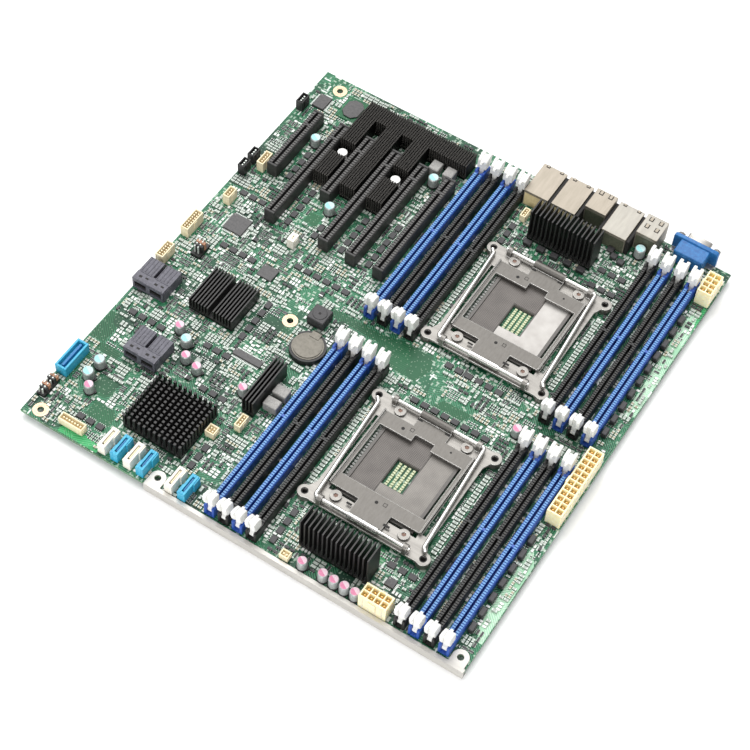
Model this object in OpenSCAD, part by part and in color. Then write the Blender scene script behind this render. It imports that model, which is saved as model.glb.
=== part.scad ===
// Dual-socket server motherboard, 12 x 13 inch class, lying flat.
// +Z is the component side, +Y the edge with the rear ports, +X the edge with the main power connector.
// The origin is the centre of the footprint, on the surface that the board lies on.

/* [Circuit board] */
// Thickness of the board
board_t = 2; // [1.6:0.1:3]
// Air under the board, held by the stiffener and the back plates
under_gap = 4.2; // [3.6:0.1:6]
// Radius of the mounting holes
mount_hole_r = 2; // [1.6:0.05:2.4]
// Front row of mounting holes, distance from the front edge
front_hole_y = 6.6; // [6:0.1:8]
// Rear row of mounting holes, distance from the rear edge
rear_hole_y = 10.2; // [8:0.1:11]
// Front left mounting hole, distance from the left edge
front_left_hole_x = 10; // [8:0.1:12]
// Rear left mounting hole, distance from the left edge
rear_left_hole_x = 16.5; // [10:0.1:17]
// Right-hand mounting holes, distance from the right edge
right_hole_x = 6; // [5.6:0.1:7]
// Inner mounting holes, distance from the left edge
inner_hole_x = 95; // [94:0.1:97]
// Middle mounting hole, distance from the front edge
middle_hole_y = 143; // [138:0.5:150]

/* [Front stiffener] */
// Thickness of the stiffener's sheet
sheet_t = 1; // [0.6:0.1:1.4]
// Depth of the lip that lies on the board
lip_d = 1.6; // [1:0.1:1.9]
// Depth of the foot turned in under the board
foot_d = 3; // [2:0.1:3.4]
// Width of a screw tab
tab_w = 10; // [8:0.2:10.4]

/* [Expansion slots] */
// First slot, distance from the left edge
slot_first_x = 20.32; // [18:0.01:22]
// Distance between slots
slot_pitch = 20.32; // [19.5:0.01:21.5]
// Width of a slot housing
slot_w = 7.5; // [6.5:0.1:8.2]
// Height of a slot housing
slot_h = 11.2; // [10:0.1:13]
// Length of a long slot
slot_long = 89; // [80:1:95]
// Length of a short slot
slot_short = 56; // [50:1:60]
// Rear end of the slots, distance from the rear edge
slot_rear = 41.5; // [40:0.1:43]
// Width of the card groove
card_gap = 1.9; // [1.6:0.1:2.4]
// Depth of the card groove
card_depth = 7.5; // [5:0.1:8.5]
// Length of the short contact run ahead of the key
card_short_run = 11.7; // [10:0.1:13]
// Width of the key
key_w = 1.8; // [1:0.1:2.4]

/* [Memory slots] */
// Distance from the last expansion slot to the first memory slot
slot_to_memory = 11.48; // [11:0.01:14]
// Distance between memory slots
memory_pitch = 9.6; // [9:0.1:11]
// Length of a memory slot
memory_len = 142; // [138:1:150]
// Width of the housing between the end towers
memory_w = 6.4; // [5.8:0.1:7]
// Height of the housing
memory_h = 9; // [8.4:0.1:9.6]
// Width of an end tower
tower_w = 7.2; // [7:0.1:8]
// Length of an end tower
tower_len = 8.8; // [8.4:0.1:10]
// Width of the module groove
module_gap = 1.6; // [1.4:0.1:2]
// Depth of the module groove
module_depth = 6; // [4:0.1:7]
// Key in the module groove, distance from the slot's centre
memory_key_y = 4.6; // [3:0.1:8]
// Front end of the front banks, distance from the front edge
memory_front = 3; // [2.4:0.1:5]
// Gap between the left banks
left_bank_gap = 26.5; // [22:0.5:32]
// Gap between the right banks
right_bank_gap = 20; // [19:0.5:24]
// Rear end of the rear left bank, distance from the rear edge
memory_rear = 16.5; // [14:0.5:20]

/* [Memory latches] */
// Height of a closed latch above the board
latch_h = 20.5; // [18:0.1:21]
// Width of the latch's finger grip
grip_w = 6.6; // [5:0.1:7]
// Height of the grip's underside above the tower
grip_lift = 1.6; // [1.6:0.1:3]
// Width of the notch that the latch swings in
latch_notch = 3.6; // [3:0.1:4.4]
// Clearance at each side of the latch in its notch
latch_clear = 0.2; // [0.15:0.05:0.4]
// Pivot, distance from the end of the slot
pivot_in = 3.8; // [3.6:0.1:4.2]
// Pivot, height above the board
pivot_h = 4.2; // [4:0.1:4.4]
// Radius of the latch's pivot pins
pivot_r = 1.1; // [0.8:0.05:1.3]
// Radial clearance of the pivot pins
pivot_clear = 0.1; // [0.05:0.01:0.15]
// Radius of the latch's hub
hub_r = 2.6; // [2:0.1:2.7]

/* [Processor sockets] */
// Gap between the left memory bank and the socket frames
socket_left_gap = 0.7; // [0.5:0.1:4]
// Gap between the socket frames and the right memory bank
socket_right_gap = 1.9; // [1:0.1:4]
// Centre of the front socket, distance from the front edge
front_socket_y = 85; // [82:0.5:90]
// Centre of the rear socket, distance from the rear edge
rear_socket_y = 109.7; // [105:0.1:112]
// Width of the socket body
socket_w = 52; // [48:0.5:54]
// Depth of the socket body
socket_d = 58; // [54:0.5:59]
// Height of the contact field
contact_h = 2.8; // [2.2:0.1:3.2]
// Height of the rim round the contact field
rim_h = 4; // [3.6:0.1:4.6]
// Width of that rim
rim_t = 2; // [1.5:0.1:3]
// Width of the opening in the middle of the contact field
core_w = 14.5; // [12:0.5:18]
// Depth of that opening
core_d = 19.5; // [16:0.5:22]

/* [Socket frames] */
// Distance between the tapped cooler holes
cooler_pitch = 80; // [80:1:84]
// Radius of the tapped cooler holes
cooler_hole_r = 1.65; // [1.5:0.05:2]
// Radius of the corner posts
post_r = 4.4; // [3.8:0.1:4.8]
// Height of the frame above the board
frame_h = 4.9; // [4.8:0.1:5.6]
// Thickness of the frame's plate
frame_t = 1.5; // [1.2:0.1:2]
// Width of the frame's plate, which reaches out under the levers
frame_w = 75; // [72:0.5:77]
// Width of the slots in the frame beside the load plate
side_slot_w = 2.6; // [1.5:0.1:3]
// Length of the slots in the frame beside the load plate
side_slot_len = 54; // [45:1:58]
// Width of the frame's opening
frame_open_w = 59; // [57:0.5:60]
// Depth of the frame's opening
frame_open_d = 62; // [60.5:0.5:63]
// Socket screws, distance to either side of the centre
screw_x = 23; // [22:0.1:23.2]
// Front socket screws, distance ahead of the frame's opening
screw_front_gap = 2.4; // [2:0.1:2.8]
// Rear socket screws, distance behind the frame's opening
screw_rear_gap = 5.6; // [5.2:0.1:5.8]
// Radius of a screw head
screw_head_r = 3.6; // [3:0.1:3.8]
// Height of a screw head
screw_head_h = 1.6; // [1.2:0.1:2]
// Radius of a screw's shank
screw_r = 1.5; // [1.2:0.05:1.6]
// Radial clearance of the shank in frame and board
screw_clear = 0.2; // [0.1:0.05:0.4]
// Thickness of a back plate
back_t = 2.2; // [1.6:0.1:2.8]

/* [Load plates and levers] */
// Width of the load plate
plate_w = 62; // [61:0.2:62.4]
// Front edge of the load plate, distance inside the frame's opening
plate_front_in = 3; // [2.6:0.1:4]
// Rear edge of the load plate, distance past the frame's opening
plate_rear_past = 1; // [0:0.1:1.4]
// Thickness of the load plate
plate_t = 1.5; // [1.2:0.1:1.8]
// Clearance between the closed load plate and the frame
plate_gap = 0.3; // [0.2:0.05:0.5]
// Width of the load plate's side rails
rail_w = 3; // [2:0.1:3.4]
// Height of the rails' upturned edges
rail_h = 3.2; // [2:0.1:4]
// Front edge of the window, distance ahead of the centre
window_front = 19; // [17:0.5:21]
// Rear edge of the window, distance behind the centre
window_rear = 22; // [20:0.5:24]
// Width of the two tongues
tongue_w = 22; // [18:0.5:24]
// Lever shafts, distance ahead of and behind the centre
shaft_y = 41; // [40.6:0.1:41.2]
// Radius of the lever wire
wire_r = 1.3; // [1:0.05:1.4]
// Radial clearance of the wire in its lugs and in the hinge
wire_clear = 0.1; // [0.05:0.01:0.12]
// Radius of the load plate's hinge barrel
barrel_r = 2.5; // [2.2:0.1:2.6]
// Radius of the cam on the front lever
cam_r = 2; // [1.6:0.1:2.2]
// Length of a lever arm
lever_len = 75; // [60:1:76]
// Sideways splay of a lever arm towards its tip
lever_splay = 4.7; // [3:0.1:5]

/* [Heatsinks] */
// Width of a regulator heatsink beside a socket
tall_sink_w = 45.5; // [42:0.5:48]
// Depth of a regulator heatsink
tall_sink_d = 13; // [10:0.5:15]
// Height of a regulator heatsink
tall_sink_h = 27; // [20:0.5:30]
// Front regulator heatsink, distance from the front edge
tall_front_y = 15.5; // [13:0.5:18]
// Rear regulator heatsink, distance from the rear edge to its front face
tall_rear_y = 48.5; // [46:0.5:50]
// Width of the slim heatsink by the left memory bank
slim_sink_w = 8; // [6:0.5:9]
// Length of the slim heatsink
slim_sink_len = 36; // [30:1:40]
// Height of the slim heatsink
slim_sink_h = 14; // [10:0.5:16]
// Width of the chipset heatsink
chipset_sink_w = 32; // [28:0.5:36]
// Depth of the chipset heatsink
chipset_sink_d = 30; // [26:0.5:34]
// Height of the chipset heatsink
chipset_sink_h = 10; // [8:0.5:14]
// Width of the controller heatsink
pin_sink_w = 41.5; // [38:0.5:44]
// Depth of the controller heatsink
pin_sink_d = 37; // [34:0.5:38]
// Height of the controller heatsink
pin_sink_h = 12; // [9:0.5:15]
// Height of the rear slot heatsink
comb_h = 13.5; // [11:0.5:15]
// Depth of the rear slot heatsink's spine
comb_spine_d = 13.6; // [11:0.2:14]
// Front of that spine, distance from the rear edge
comb_spine_y = 29.6; // [28.8:0.1:30]
// Reach of its fingers between the slots
comb_finger_len = 57.5; // [50:0.5:62]
// Thickness of a fin
fin_t = 0.9; // [0.6:0.05:1.2]
// Thickness of a heatsink's base
sink_base = 2.2; // [1.8:0.1:3]

/* [Rear ports] */
// Width of a network jack
jack_w = 17; // [16:0.2:17.4]
// Height of a network jack
jack_h = 13.6; // [12:0.2:15]
// Depth of a network jack
jack_d = 26.5; // [22:0.5:27]
// Width of a stacked USB port
usb_w = 14.6; // [14:0.2:15]
// Height of a stacked USB port
usb_h = 15.6; // [14.6:0.2:17]
// Depth of a stacked USB port
usb_d = 17.6; // [15:0.2:18]
// Overhang of the ports past the rear edge
port_out = 2; // [1:0.1:3]
// Clearance between the ports and the open latches beside them
port_clear = 0.7; // [0.4:0.1:1.2]
// Wall of a port's metal can
can_wall = 1.2; // [0.8:0.1:1.3]
// Width of the video port's flange
video_w = 31; // [29:0.5:32]
// Height of the video port's flange
video_h = 12.6; // [11.6:0.2:14]
// Thickness of that flange
video_flange_t = 3; // [2:0.1:4]
// Width of the video port's body
video_body_w = 20.4; // [18:0.2:22]
// Depth of the video port's body
video_body_d = 11; // [8:0.5:11.5]
// Length of the video port's metal shell
video_shell_len = 5.8; // [4:0.2:7]

/* [Connectors] */
// Distance between power contacts
power_pitch = 4.2; // [4.1:0.05:4.3]
// Wall round the power contacts
power_wall = 0.6; // [0.4:0.05:0.7]
// Height of a power connector
power_h = 13; // [11:0.2:15]
// Wall between two power contacts
power_web = 0.7; // [0.5:0.05:0.9]
// Gap between the right memory bank and the power connectors
power_gap = 1.4; // [1.2:0.1:2]
// Margin between the power connectors and the right edge
power_margin = 0.8; // [0.5:0.1:1.6]
// Front end of the main power connector, distance from the front edge
main_power_y = 107.5; // [106:0.5:112]
// Width of an internal storage connector
storage_w = 23; // [20:0.5:24]
// Depth of an internal storage connector
storage_d = 20; // [18:0.5:21]
// Height of an internal storage connector
storage_h = 9.6; // [8.6:0.1:11]
// Thickness of a SATA port
sata_t = 4.6; // [4:0.1:6]
// Length of a SATA port
sata_len = 15; // [14:0.2:15.6]
// Height of a SATA port
sata_h = 8.6; // [7:0.1:10]
// Distance between SATA ports
sata_pitch = 9.1; // [8.6:0.1:9.4]
// Front face of the front row of connectors, distance from the front edge
front_row_y = 2; // [2:0.1:3]
// Wall of a shrouded header
shroud_t = 0.9; // [0.6:0.1:1.1]

/* [Small parts] */
// Radius of the coin cell
cell_r = 10; // [8:0.1:10.4]
// Thickness of the coin cell
cell_t = 3.2; // [2:0.1:3.6]
// Radial clearance of the cell in its holder
cell_clear = 0.15; // [0.1:0.05:0.3]
// Wall of the cell holder
holder_wall = 1.4; // [1:0.1:1.6]
// Floor of the cell holder
holder_floor = 2; // [1:0.1:3]
// Radius of a small can capacitor
small_can_r = 3.1; // [2.5:0.05:3.2]
// Radius of a large can capacitor
large_can_r = 3.5; // [3:0.05:3.7]
// Height of the can capacitors
can_h = 8; // [5:0.2:10]
// Height of a tall choke
choke_h = 7; // [5:0.2:8]
// Height of the low chokes by the right edge
low_choke_h = 4.6; // [3:0.1:6]
// Thickness of a chip
chip_t = 1.8; // [1:0.1:2.4]
// Length of a capacitor in the rows beside the sockets
row_cap_len = 3.2; // [2.4:0.1:3.4]
// Width of such a capacitor
row_cap_w = 1.7; // [1.2:0.1:1.9]
// Height of such a capacitor
row_cap_h = 1.5; // [0.8:0.1:2]
// Distance between those capacitors
row_cap_pitch = 2.6; // [2.2:0.05:2.7]
// Length of a driver chip
driver_len = 5; // [4:0.1:5.6]
// Width of a driver chip
driver_w = 3.8; // [3:0.1:4.4]
// Height of a driver chip
driver_h = 1.5; // [1:0.1:2]
// Distance between driver chips in a row
driver_pitch = 7; // [6.4:0.1:7.2]

/* [Hidden] */
$fn = 48;
board_top = under_gap + board_t;
bank_size = 4;
frame_half = cooler_pitch / 2 + post_r;
power_w = 2 * power_pitch + 2 * power_wall;
cut = 1;

// Places across the board, built up from the left edge
slot_lens = [slot_short, slot_long, slot_short, slot_long, slot_long, slot_long];
slot_last_x = slot_first_x + (len(slot_lens) - 1) * slot_pitch;
memory_left_x = slot_last_x + slot_to_memory;
memory_left_end = memory_left_x + (bank_size - 1) * memory_pitch + tower_w / 2;
socket_x = memory_left_end + socket_left_gap + frame_half;
memory_right_x = socket_x + frame_half + socket_right_gap + tower_w / 2;
memory_right_end = memory_right_x + (bank_size - 1) * memory_pitch + tower_w / 2;
power_x = memory_right_end + power_gap;
board_w = power_x + power_w + power_margin;

// Places along the board: the memory banks set its depth
rear_left_y = memory_front + memory_len + left_bank_gap;
rear_right_y = memory_front + memory_len + right_bank_gap;
board_d = rear_left_y + memory_len + memory_rear;
slot_end_y = board_d - slot_rear;
comb_spine_front = board_d - comb_spine_y;
socket_ys = [front_socket_y, board_d - rear_socket_y];
mount_holes = [
    [front_left_hole_x, front_hole_y],
    [inner_hole_x, front_hole_y],
    [board_w - right_hole_x, front_hole_y],
    [inner_hole_x, middle_hole_y],
    [rear_left_hole_x, board_d - rear_hole_y],
    [board_w - right_hole_x, board_d - rear_hole_y],
];
plate_front = frame_open_d / 2 - plate_front_in;
plate_rear = frame_open_d / 2 + plate_rear_past;
screw_front = frame_open_d / 2 + screw_front_gap;
screw_rear = frame_open_d / 2 + screw_rear_gap;
socket_screws_at = [for (x = [-screw_x, screw_x]) for (y = [-screw_front, screw_rear]) [x, y]];

// The whole footprint, used to put the origin at its centre
front_reach = -sheet_t;
rear_reach = board_d + port_out + video_shell_len;
centre = [board_w / 2, (front_reach + rear_reach) / 2];

// Memory banks in the order front left, front right, rear left, rear right
bank_names = ["front_left", "front_right", "rear_left", "rear_right"];
bank_xs = [memory_left_x, memory_right_x, memory_left_x, memory_right_x];
bank_ys = [memory_front, memory_front, rear_left_y, rear_right_y];
end_names = ["front", "rear"];
socket_names = ["front", "rear"];
function latch_name(bank, place, end) =
    str("latch_", bank_names[bank], "_", place + 1, "_", end_names[end]);

fixed_nodes = [
    "circuit_board", "front_stiffener", "memory_slots", "expansion_slots",
    "cpu_sockets", "socket_frames", "socket_backplates", "socket_screws",
    "chipset_heatsink", "controller_heatsink", "regulator_heatsinks", "slot_heatsink",
    "heatsink_push_pins", "rear_ports", "video_port", "power_connectors",
    "storage_connectors", "board_headers", "battery_holder", "coin_cell",
    "capacitors", "chips_and_chokes",
];

// Moves children from board coordinates (front left corner at 0,0) to the part's own frame
module part_frame() {
    translate([-centre[0], -centre[1], 0]) children();
}

// Puts children on the board's top face
module on_board(x, y) {
    translate([x, y, board_top]) children();
}

// A block given by its lowest corner and its size
module block(corner, size) {
    translate(corner) cube(size);
}

// A straight round wire along +X, then its children at its end. It runs a little way into what it joins.
wire_joint = 0.3;
module wire_run(length, r) {
    translate([-wire_joint, 0, 0])
        rotate([0, 90, 0]) cylinder(h = length + 2 * wire_joint, r = r);
    translate([length, 0, 0]) children();
}

// A wire bent to the right about a bend radius, then its children at its end. Bending swells it slightly.
bend_swell = 0.05;
module wire_bend(angle, bend_r, r) {
    translate([0, -bend_r, 0])
        rotate([0, 0, 90 - angle])
            rotate_extrude(angle = angle) translate([bend_r, 0]) circle(r = r + bend_swell);
    translate([bend_r * sin(angle), bend_r * (cos(angle) - 1), 0])
        rotate([0, 0, -angle]) children();
}

// A closed profile in the Y-Z plane, extruded to a width across X about its middle
module cross_profile(width, points) {
    rotate([90, 0, 90])
        linear_extrude(width, center = true)
            polygon(points);
}

// Circuit board
module circuit_board() {
    color("darkgreen") part_frame()
        difference() {
            block([0, 0, under_gap], [board_w, board_d, board_t]);
            for (h = mount_holes)
                translate([h[0], h[1], under_gap - cut])
                    cylinder(h = board_t + 2 * cut, r = mount_hole_r);
            for (y = socket_ys)
                for (s = socket_screws_at)
                    translate([socket_x + s[0], y + s[1], under_gap - cut])
                        cylinder(h = board_t + 2 * cut, r = screw_r + screw_clear);
        }
}

// Front stiffener: a folded strip round the front edge with two screw tabs
stiffener_x = inner_hole_x - tab_w / 2;
module stiffener_tab(x) {
    on_board(x, 0) {
        block([-tab_w / 2, 0, 0], [tab_w, front_hole_y, sheet_t]);
        translate([0, front_hole_y, 0]) cylinder(h = sheet_t, r = tab_w / 2);
    }
}

module front_stiffener() {
    length = board_w - stiffener_x;
    tab_xs = [inner_hole_x, board_w - right_hole_x];
    color("silver") part_frame()
        difference() {
            union() {
                block([stiffener_x, -sheet_t, 0], [length, sheet_t, board_top + sheet_t]);
                block([stiffener_x, -sheet_t, board_top], [length, sheet_t + lip_d, sheet_t]);
                block([stiffener_x, -sheet_t, 0], [length, sheet_t + foot_d, sheet_t]);
                for (x = tab_xs) stiffener_tab(x);
            }
            for (x = tab_xs)
                on_board(x, front_hole_y)
                    translate([0, 0, -cut]) cylinder(h = sheet_t + 2 * cut, r = mount_hole_r);
        }
}

// Memory slots: a keyed groove between two towers that hold the latches
notch_len = tower_len - 0.8;
notch_floor = pivot_h - hub_r - 0.3;
module memory_slot() {
    half = memory_len / 2;
    run_end = half - tower_len / 2;
    difference() {
        union() {
            block([-memory_w / 2, -run_end, 0], [memory_w, 2 * run_end, memory_h]);
            for (side = [0, 1])
                mirror([0, side, 0])
                    block([-tower_w / 2, half - tower_len, 0], [tower_w, tower_len, memory_h]);
        }
        block([-module_gap / 2, -run_end, memory_h - module_depth],
              [module_gap, run_end + memory_key_y - key_w / 2, module_depth + cut]);
        block([-module_gap / 2, memory_key_y + key_w / 2, memory_h - module_depth],
              [module_gap, run_end - memory_key_y - key_w / 2, module_depth + cut]);
        for (side = [0, 1])
            mirror([0, side, 0]) {
                block([-latch_notch / 2, half - notch_len, notch_floor],
                      [latch_notch, notch_len + cut, memory_h]);
                translate([0, half - pivot_in, pivot_h])
                    rotate([0, 90, 0])
                        cylinder(h = tower_w + 2 * cut, r = pivot_r + pivot_clear, center = true);
            }
    }
}

module memory_slots() {
    part_frame()
        for (b = [0:3])
            for (p = [0:bank_size - 1])
                color((b + p) % 2 == 0 ? "royalblue" : "black")
                    on_board(bank_xs[b] + p * memory_pitch, bank_ys[b] + memory_len / 2)
                        memory_slot();
}

// Memory latch, drawn about its pivot: +Y points out of the slot
module latch() {
    shank_w = latch_notch - 2 * latch_clear;
    top = latch_h - pivot_h;
    grip_low = memory_h + grip_lift - pivot_h;
    inner = hub_r + 0.2;
    cross_profile(shank_w, [[-2, 0], [2, 0], [2.2, grip_low + 1], [-2.2, grip_low + 1]]);
    cross_profile(shank_w, [[-3.2, 1 - hub_r + 0.2], [-3.2, 0.6 - hub_r], [0, -hub_r + 0.2], [0, 0.2]]);
    cross_profile(grip_w, [[-inner, grip_low], [3.4, grip_low], [5, top], [1.3, top], [-inner, top - 2.5]]);
    cross_profile(shank_w / 2, [[-inner - 1.8, top - 4.3], [-inner, top - 5.3], [-inner + 0.5, top - 3],
                                [-inner - 1, top - 3]]);
    rotate([0, 90, 0]) cylinder(h = shank_w, r = hub_r, center = true);
    rotate([0, 90, 0]) cylinder(h = tower_w - 0.6, r = pivot_r, center = true);
}

module placed_latch(bank, place, end) {
    pivot_y = end == 1 ? memory_len - pivot_in : pivot_in;
    color("white") part_frame()
        on_board(bank_xs[bank] + place * memory_pitch, bank_ys[bank] + pivot_y)
            translate([0, 0, pivot_h])
                mirror([0, 1 - end, 0]) latch();
}

// Expansion slots: rear ends in line, long and short housings
module expansion_slot(length) {
    rear_wall = 1.6;
    groove = length - 2 * rear_wall;
    key_at = rear_wall + card_short_run;
    difference() {
        block([-slot_w / 2, -length, 0], [slot_w, length, slot_h]);
        block([-card_gap / 2, -key_at, slot_h - card_depth],
              [card_gap, card_short_run, card_depth + cut]);
        block([-card_gap / 2, rear_wall - length, slot_h - card_depth],
              [card_gap, groove - card_short_run - key_w, card_depth + cut]);
    }
}

module expansion_slots() {
    color("dimgray") part_frame()
        for (i = [0:len(slot_lens) - 1])
            on_board(slot_first_x + i * slot_pitch, slot_end_y)
                expansion_slot(slot_lens[i]);
}

// Runs children once in each socket's own frame, with z = 0 on the board
module at_socket(index) {
    part_frame() on_board(socket_x, socket_ys[index]) children();
}

// Socket bodies
module cpu_sockets() {
    for (i = [0, 1])
        color("slategray") at_socket(i)
            difference() {
                block([-socket_w / 2, -socket_d / 2, 0], [socket_w, socket_d, rim_h]);
                block([rim_t - socket_w / 2, rim_t - socket_d / 2, contact_h],
                      [socket_w - 2 * rim_t, socket_d - 2 * rim_t, rim_h]);
                block([-core_w / 2, -core_d / 2, -cut], [core_w, core_d, rim_h + 2 * cut]);
            }
}

// Socket frames: a plate on four tapped posts, with a slot down each side and lugs for the lever shafts
side_slot_x = plate_w / 2 + plate_gap;
shaft_z = frame_h + barrel_r + 0.6;
lug_t = 3;
lug_in = screw_x + screw_head_r + 0.6;
lug_half = wire_r + wire_clear + 1.2;
module frame_lug(x, y) {
    block([x, y - lug_half, frame_h - frame_t], [lug_t, 2 * lug_half, shaft_z - frame_h + frame_t]);
    translate([x, y, shaft_z]) rotate([0, 90, 0]) cylinder(h = lug_t, r = lug_half);
}

// A tapered arm from the frame's plate to its corner post, drawn for the rear right corner
arm_root = 9;
module frame_arm() {
    half = cooler_pitch / 2;
    inner = frame_w / 2 - 2;
    translate([0, 0, frame_h - frame_t])
        linear_extrude(frame_t)
            polygon([[inner, half - post_r - arm_root], [half, half - post_r],
                     [half, half + post_r], [inner, half + post_r - 1]]);
}

module socket_frames() {
    half = cooler_pitch / 2;
    plate_d = 2 * (shaft_y + lug_half);
    for (i = [0, 1])
        color("gainsboro") at_socket(i)
            difference() {
                union() {
                    block([-frame_w / 2, -plate_d / 2, frame_h - frame_t], [frame_w, plate_d, frame_t]);
                    for (x = [0, 1])
                        for (y = [0, 1]) mirror([x, 0, 0]) mirror([0, y, 0]) frame_arm();
                    for (x = [-half, half])
                        for (y = [-half, half])
                            translate([x, y, 0]) cylinder(h = frame_h, r = post_r);
                    for (x = [-lug_in - lug_t, lug_in])
                        for (y = [-shaft_y, shaft_y]) frame_lug(x, y);
                }
                block([-frame_open_w / 2, -frame_open_d / 2, 0],
                      [frame_open_w, frame_open_d, frame_h + cut]);
                for (x = [0, 1])
                    mirror([x, 0, 0])
                        block([side_slot_x, -side_slot_len / 2, 0],
                              [side_slot_w, side_slot_len, frame_h + cut]);
                for (x = [-half, half])
                    for (y = [-half, half])
                        translate([x, y, -cut]) cylinder(h = frame_h + 2 * cut, r = cooler_hole_r);
                for (s = socket_screws_at)
                    translate([s[0], s[1], 0]) cylinder(h = frame_h + cut, r = screw_r + screw_clear);
                for (y = [-shaft_y, shaft_y])
                    translate([0, y, shaft_z])
                        rotate([0, 90, 0])
                            cylinder(h = 2 * half, r = wire_r + wire_clear, center = true);
            }
}

// Back plates under the board, with a foot round each screw
back_window = 30;
module socket_backplates() {
    plate = [cooler_pitch, 2 * shaft_y];
    foot_r = screw_head_r + 0.6;
    for (i = [0, 1])
        color("gray") at_socket(i)
            translate([0, 0, -board_top])
                difference() {
                    union() {
                        block([-plate[0] / 2, -plate[1] / 2, under_gap - back_t],
                              [plate[0], plate[1], back_t]);
                        for (s = socket_screws_at)
                            translate([s[0], s[1], 0]) cylinder(h = under_gap - back_t / 2, r = foot_r);
                    }
                    block([-back_window / 2, -back_window / 2, 0], [back_window, back_window, board_top]);
                    for (s = socket_screws_at)
                        translate([s[0], s[1], screw_clear])
                            cylinder(h = board_top, r = screw_r + screw_clear / 4);
                }
}

// Socket screws, from the frame down into the back plate
module socket_screws() {
    shank = frame_h + board_t + back_t;
    for (i = [0, 1])
        color("silver") at_socket(i)
            for (s = socket_screws_at)
                translate([s[0], s[1], frame_h])
                    difference() {
                        union() {
                            cylinder(h = screw_head_h, r = screw_head_r);
                            translate([0, 0, -shank]) cylinder(h = shank + screw_head_h / 2, r = screw_r);
                        }
                        translate([0, 0, screw_head_h / 2])
                            cylinder(h = screw_head_h, r = screw_r, $fn = 6);
                    }
}

// Load plate: a window frame hinged on the rear lever's shaft
plate_z = frame_h + plate_gap;
module load_plate(index) {
    half_w = plate_w / 2;
    tip = shaft_y - cam_r - 0.4;
    lip = 1;
    notch_w = 13;
    notch_d = 5;
    color("lightgray") at_socket(index)
        difference() {
            union() {
                block([-half_w, -plate_front, plate_z], [plate_w, plate_front + plate_rear, plate_t]);
                block([-tongue_w / 2, -tip, plate_z], [tongue_w, tip + shaft_y, plate_t]);
                for (x = [-half_w, half_w - lip])
                    block([x, -plate_front, plate_z], [lip, plate_front + plate_rear, rail_h]);
                translate([0, shaft_y, shaft_z])
                    rotate([0, 90, 0]) cylinder(h = tongue_w, r = barrel_r, center = true);
            }
            block([rail_w - half_w, -window_front, 0],
                  [plate_w - 2 * rail_w, window_front + window_rear, shaft_z]);
            block([-notch_w / 2, 0, 0], [notch_w, window_rear + notch_d, shaft_z]);
            translate([0, shaft_y, shaft_z])
                rotate([0, 90, 0])
                    cylinder(h = tongue_w + 2 * cut, r = wire_r + wire_clear, center = true);
        }
}

// Wire lever: a shaft across the socket, an arm that splays outwards and a bent tip
lever_gap = 0.9;
lever_x = lug_in + lug_t + wire_r + lever_gap;
lever_bend_r = 2;
lever_drop = 1.2;
module lever_wire(has_cam) {
    shaft_start = -lug_in - lug_t - 0.8;
    shaft_len = lever_x - lever_bend_r - shaft_start;
    splay = asin(lever_splay / lever_len);
    tip_len = 2.4;
    tip_turn = 40;
    translate([0, shaft_y, shaft_z])
        rotate([asin(lever_drop / lever_len), 0, 0]) {
            translate([shaft_start, 0, 0])
                wire_run(shaft_len, wire_r)
                    wire_bend(90 - splay, lever_bend_r, wire_r)
                        wire_run(lever_len - lever_bend_r, wire_r)
                            mirror([0, 1, 0])
                                wire_bend(tip_turn, lever_bend_r, wire_r)
                                    wire_run(tip_len, wire_r);
            if (has_cam)
                rotate([0, 90, 0]) cylinder(h = tongue_w - 2, r = cam_r, center = true);
        }
}

module lever(index, end) {
    color("whitesmoke") at_socket(index)
        rotate([0, 0, end == 1 ? 0 : 180]) lever_wire(end == 0);
}

// A heatsink of straight fins along Y on a flat base, from its front left corner. One fin may be left out.
module fin_sink(size, count, left_out = -1) {
    step = (size[0] - fin_t) / (count - 1);
    cube([size[0], size[1], sink_base]);
    for (i = [0:count - 1])
        if (i != left_out) block([i * step, 0, 0], [fin_t, size[1], size[2]]);
}

// Heatsinks
chipset_sink_x = 38.5;
chipset_sink_y = 116;
module chipset_heatsink() {
    color("black") part_frame()
        on_board(chipset_sink_x, chipset_sink_y)
            fin_sink([chipset_sink_w, chipset_sink_d, chipset_sink_h], 15, 7);
}

pin_sink_x = 57;
pin_sink_y = 24.5;
pin_columns = 12;
pin_rows = 13;
module controller_heatsink() {
    pin_size = 1.6;
    step = [(pin_sink_w - pin_size) / (pin_columns - 1), (pin_sink_d - pin_size) / (pin_rows - 1)];
    color("black") part_frame()
        on_board(pin_sink_x, pin_sink_y) {
            cube([pin_sink_w, pin_sink_d, sink_base]);
            for (i = [0:pin_columns - 1])
                for (j = [0:pin_rows - 1])
                    block([i * step[0], j * step[1], 0], [pin_size, pin_size, pin_sink_h]);
        }
}

tall_front_left = 24.2;
tall_rear_left = 28;
tall_front_x = socket_x - tall_front_left;
tall_rear_x = socket_x - tall_rear_left;
tall_rear_front = board_d - tall_rear_y;
tall_fins = 16;
slim_to_memory = 21.4;
slim_sink_x = memory_left_x - tower_w / 2 - slim_to_memory;
slim_sink_y = 72;
module regulator_heatsinks() {
    tall = [tall_sink_w, tall_sink_d, tall_sink_h];
    color("black") part_frame() {
        on_board(tall_front_x, tall_front_y) fin_sink(tall, tall_fins);
        on_board(tall_rear_x, tall_rear_front) fin_sink(tall, tall_fins);
        on_board(slim_sink_x, slim_sink_y) fin_sink([slim_sink_w, slim_sink_len, slim_sink_h], 4);
    }
}

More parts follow.
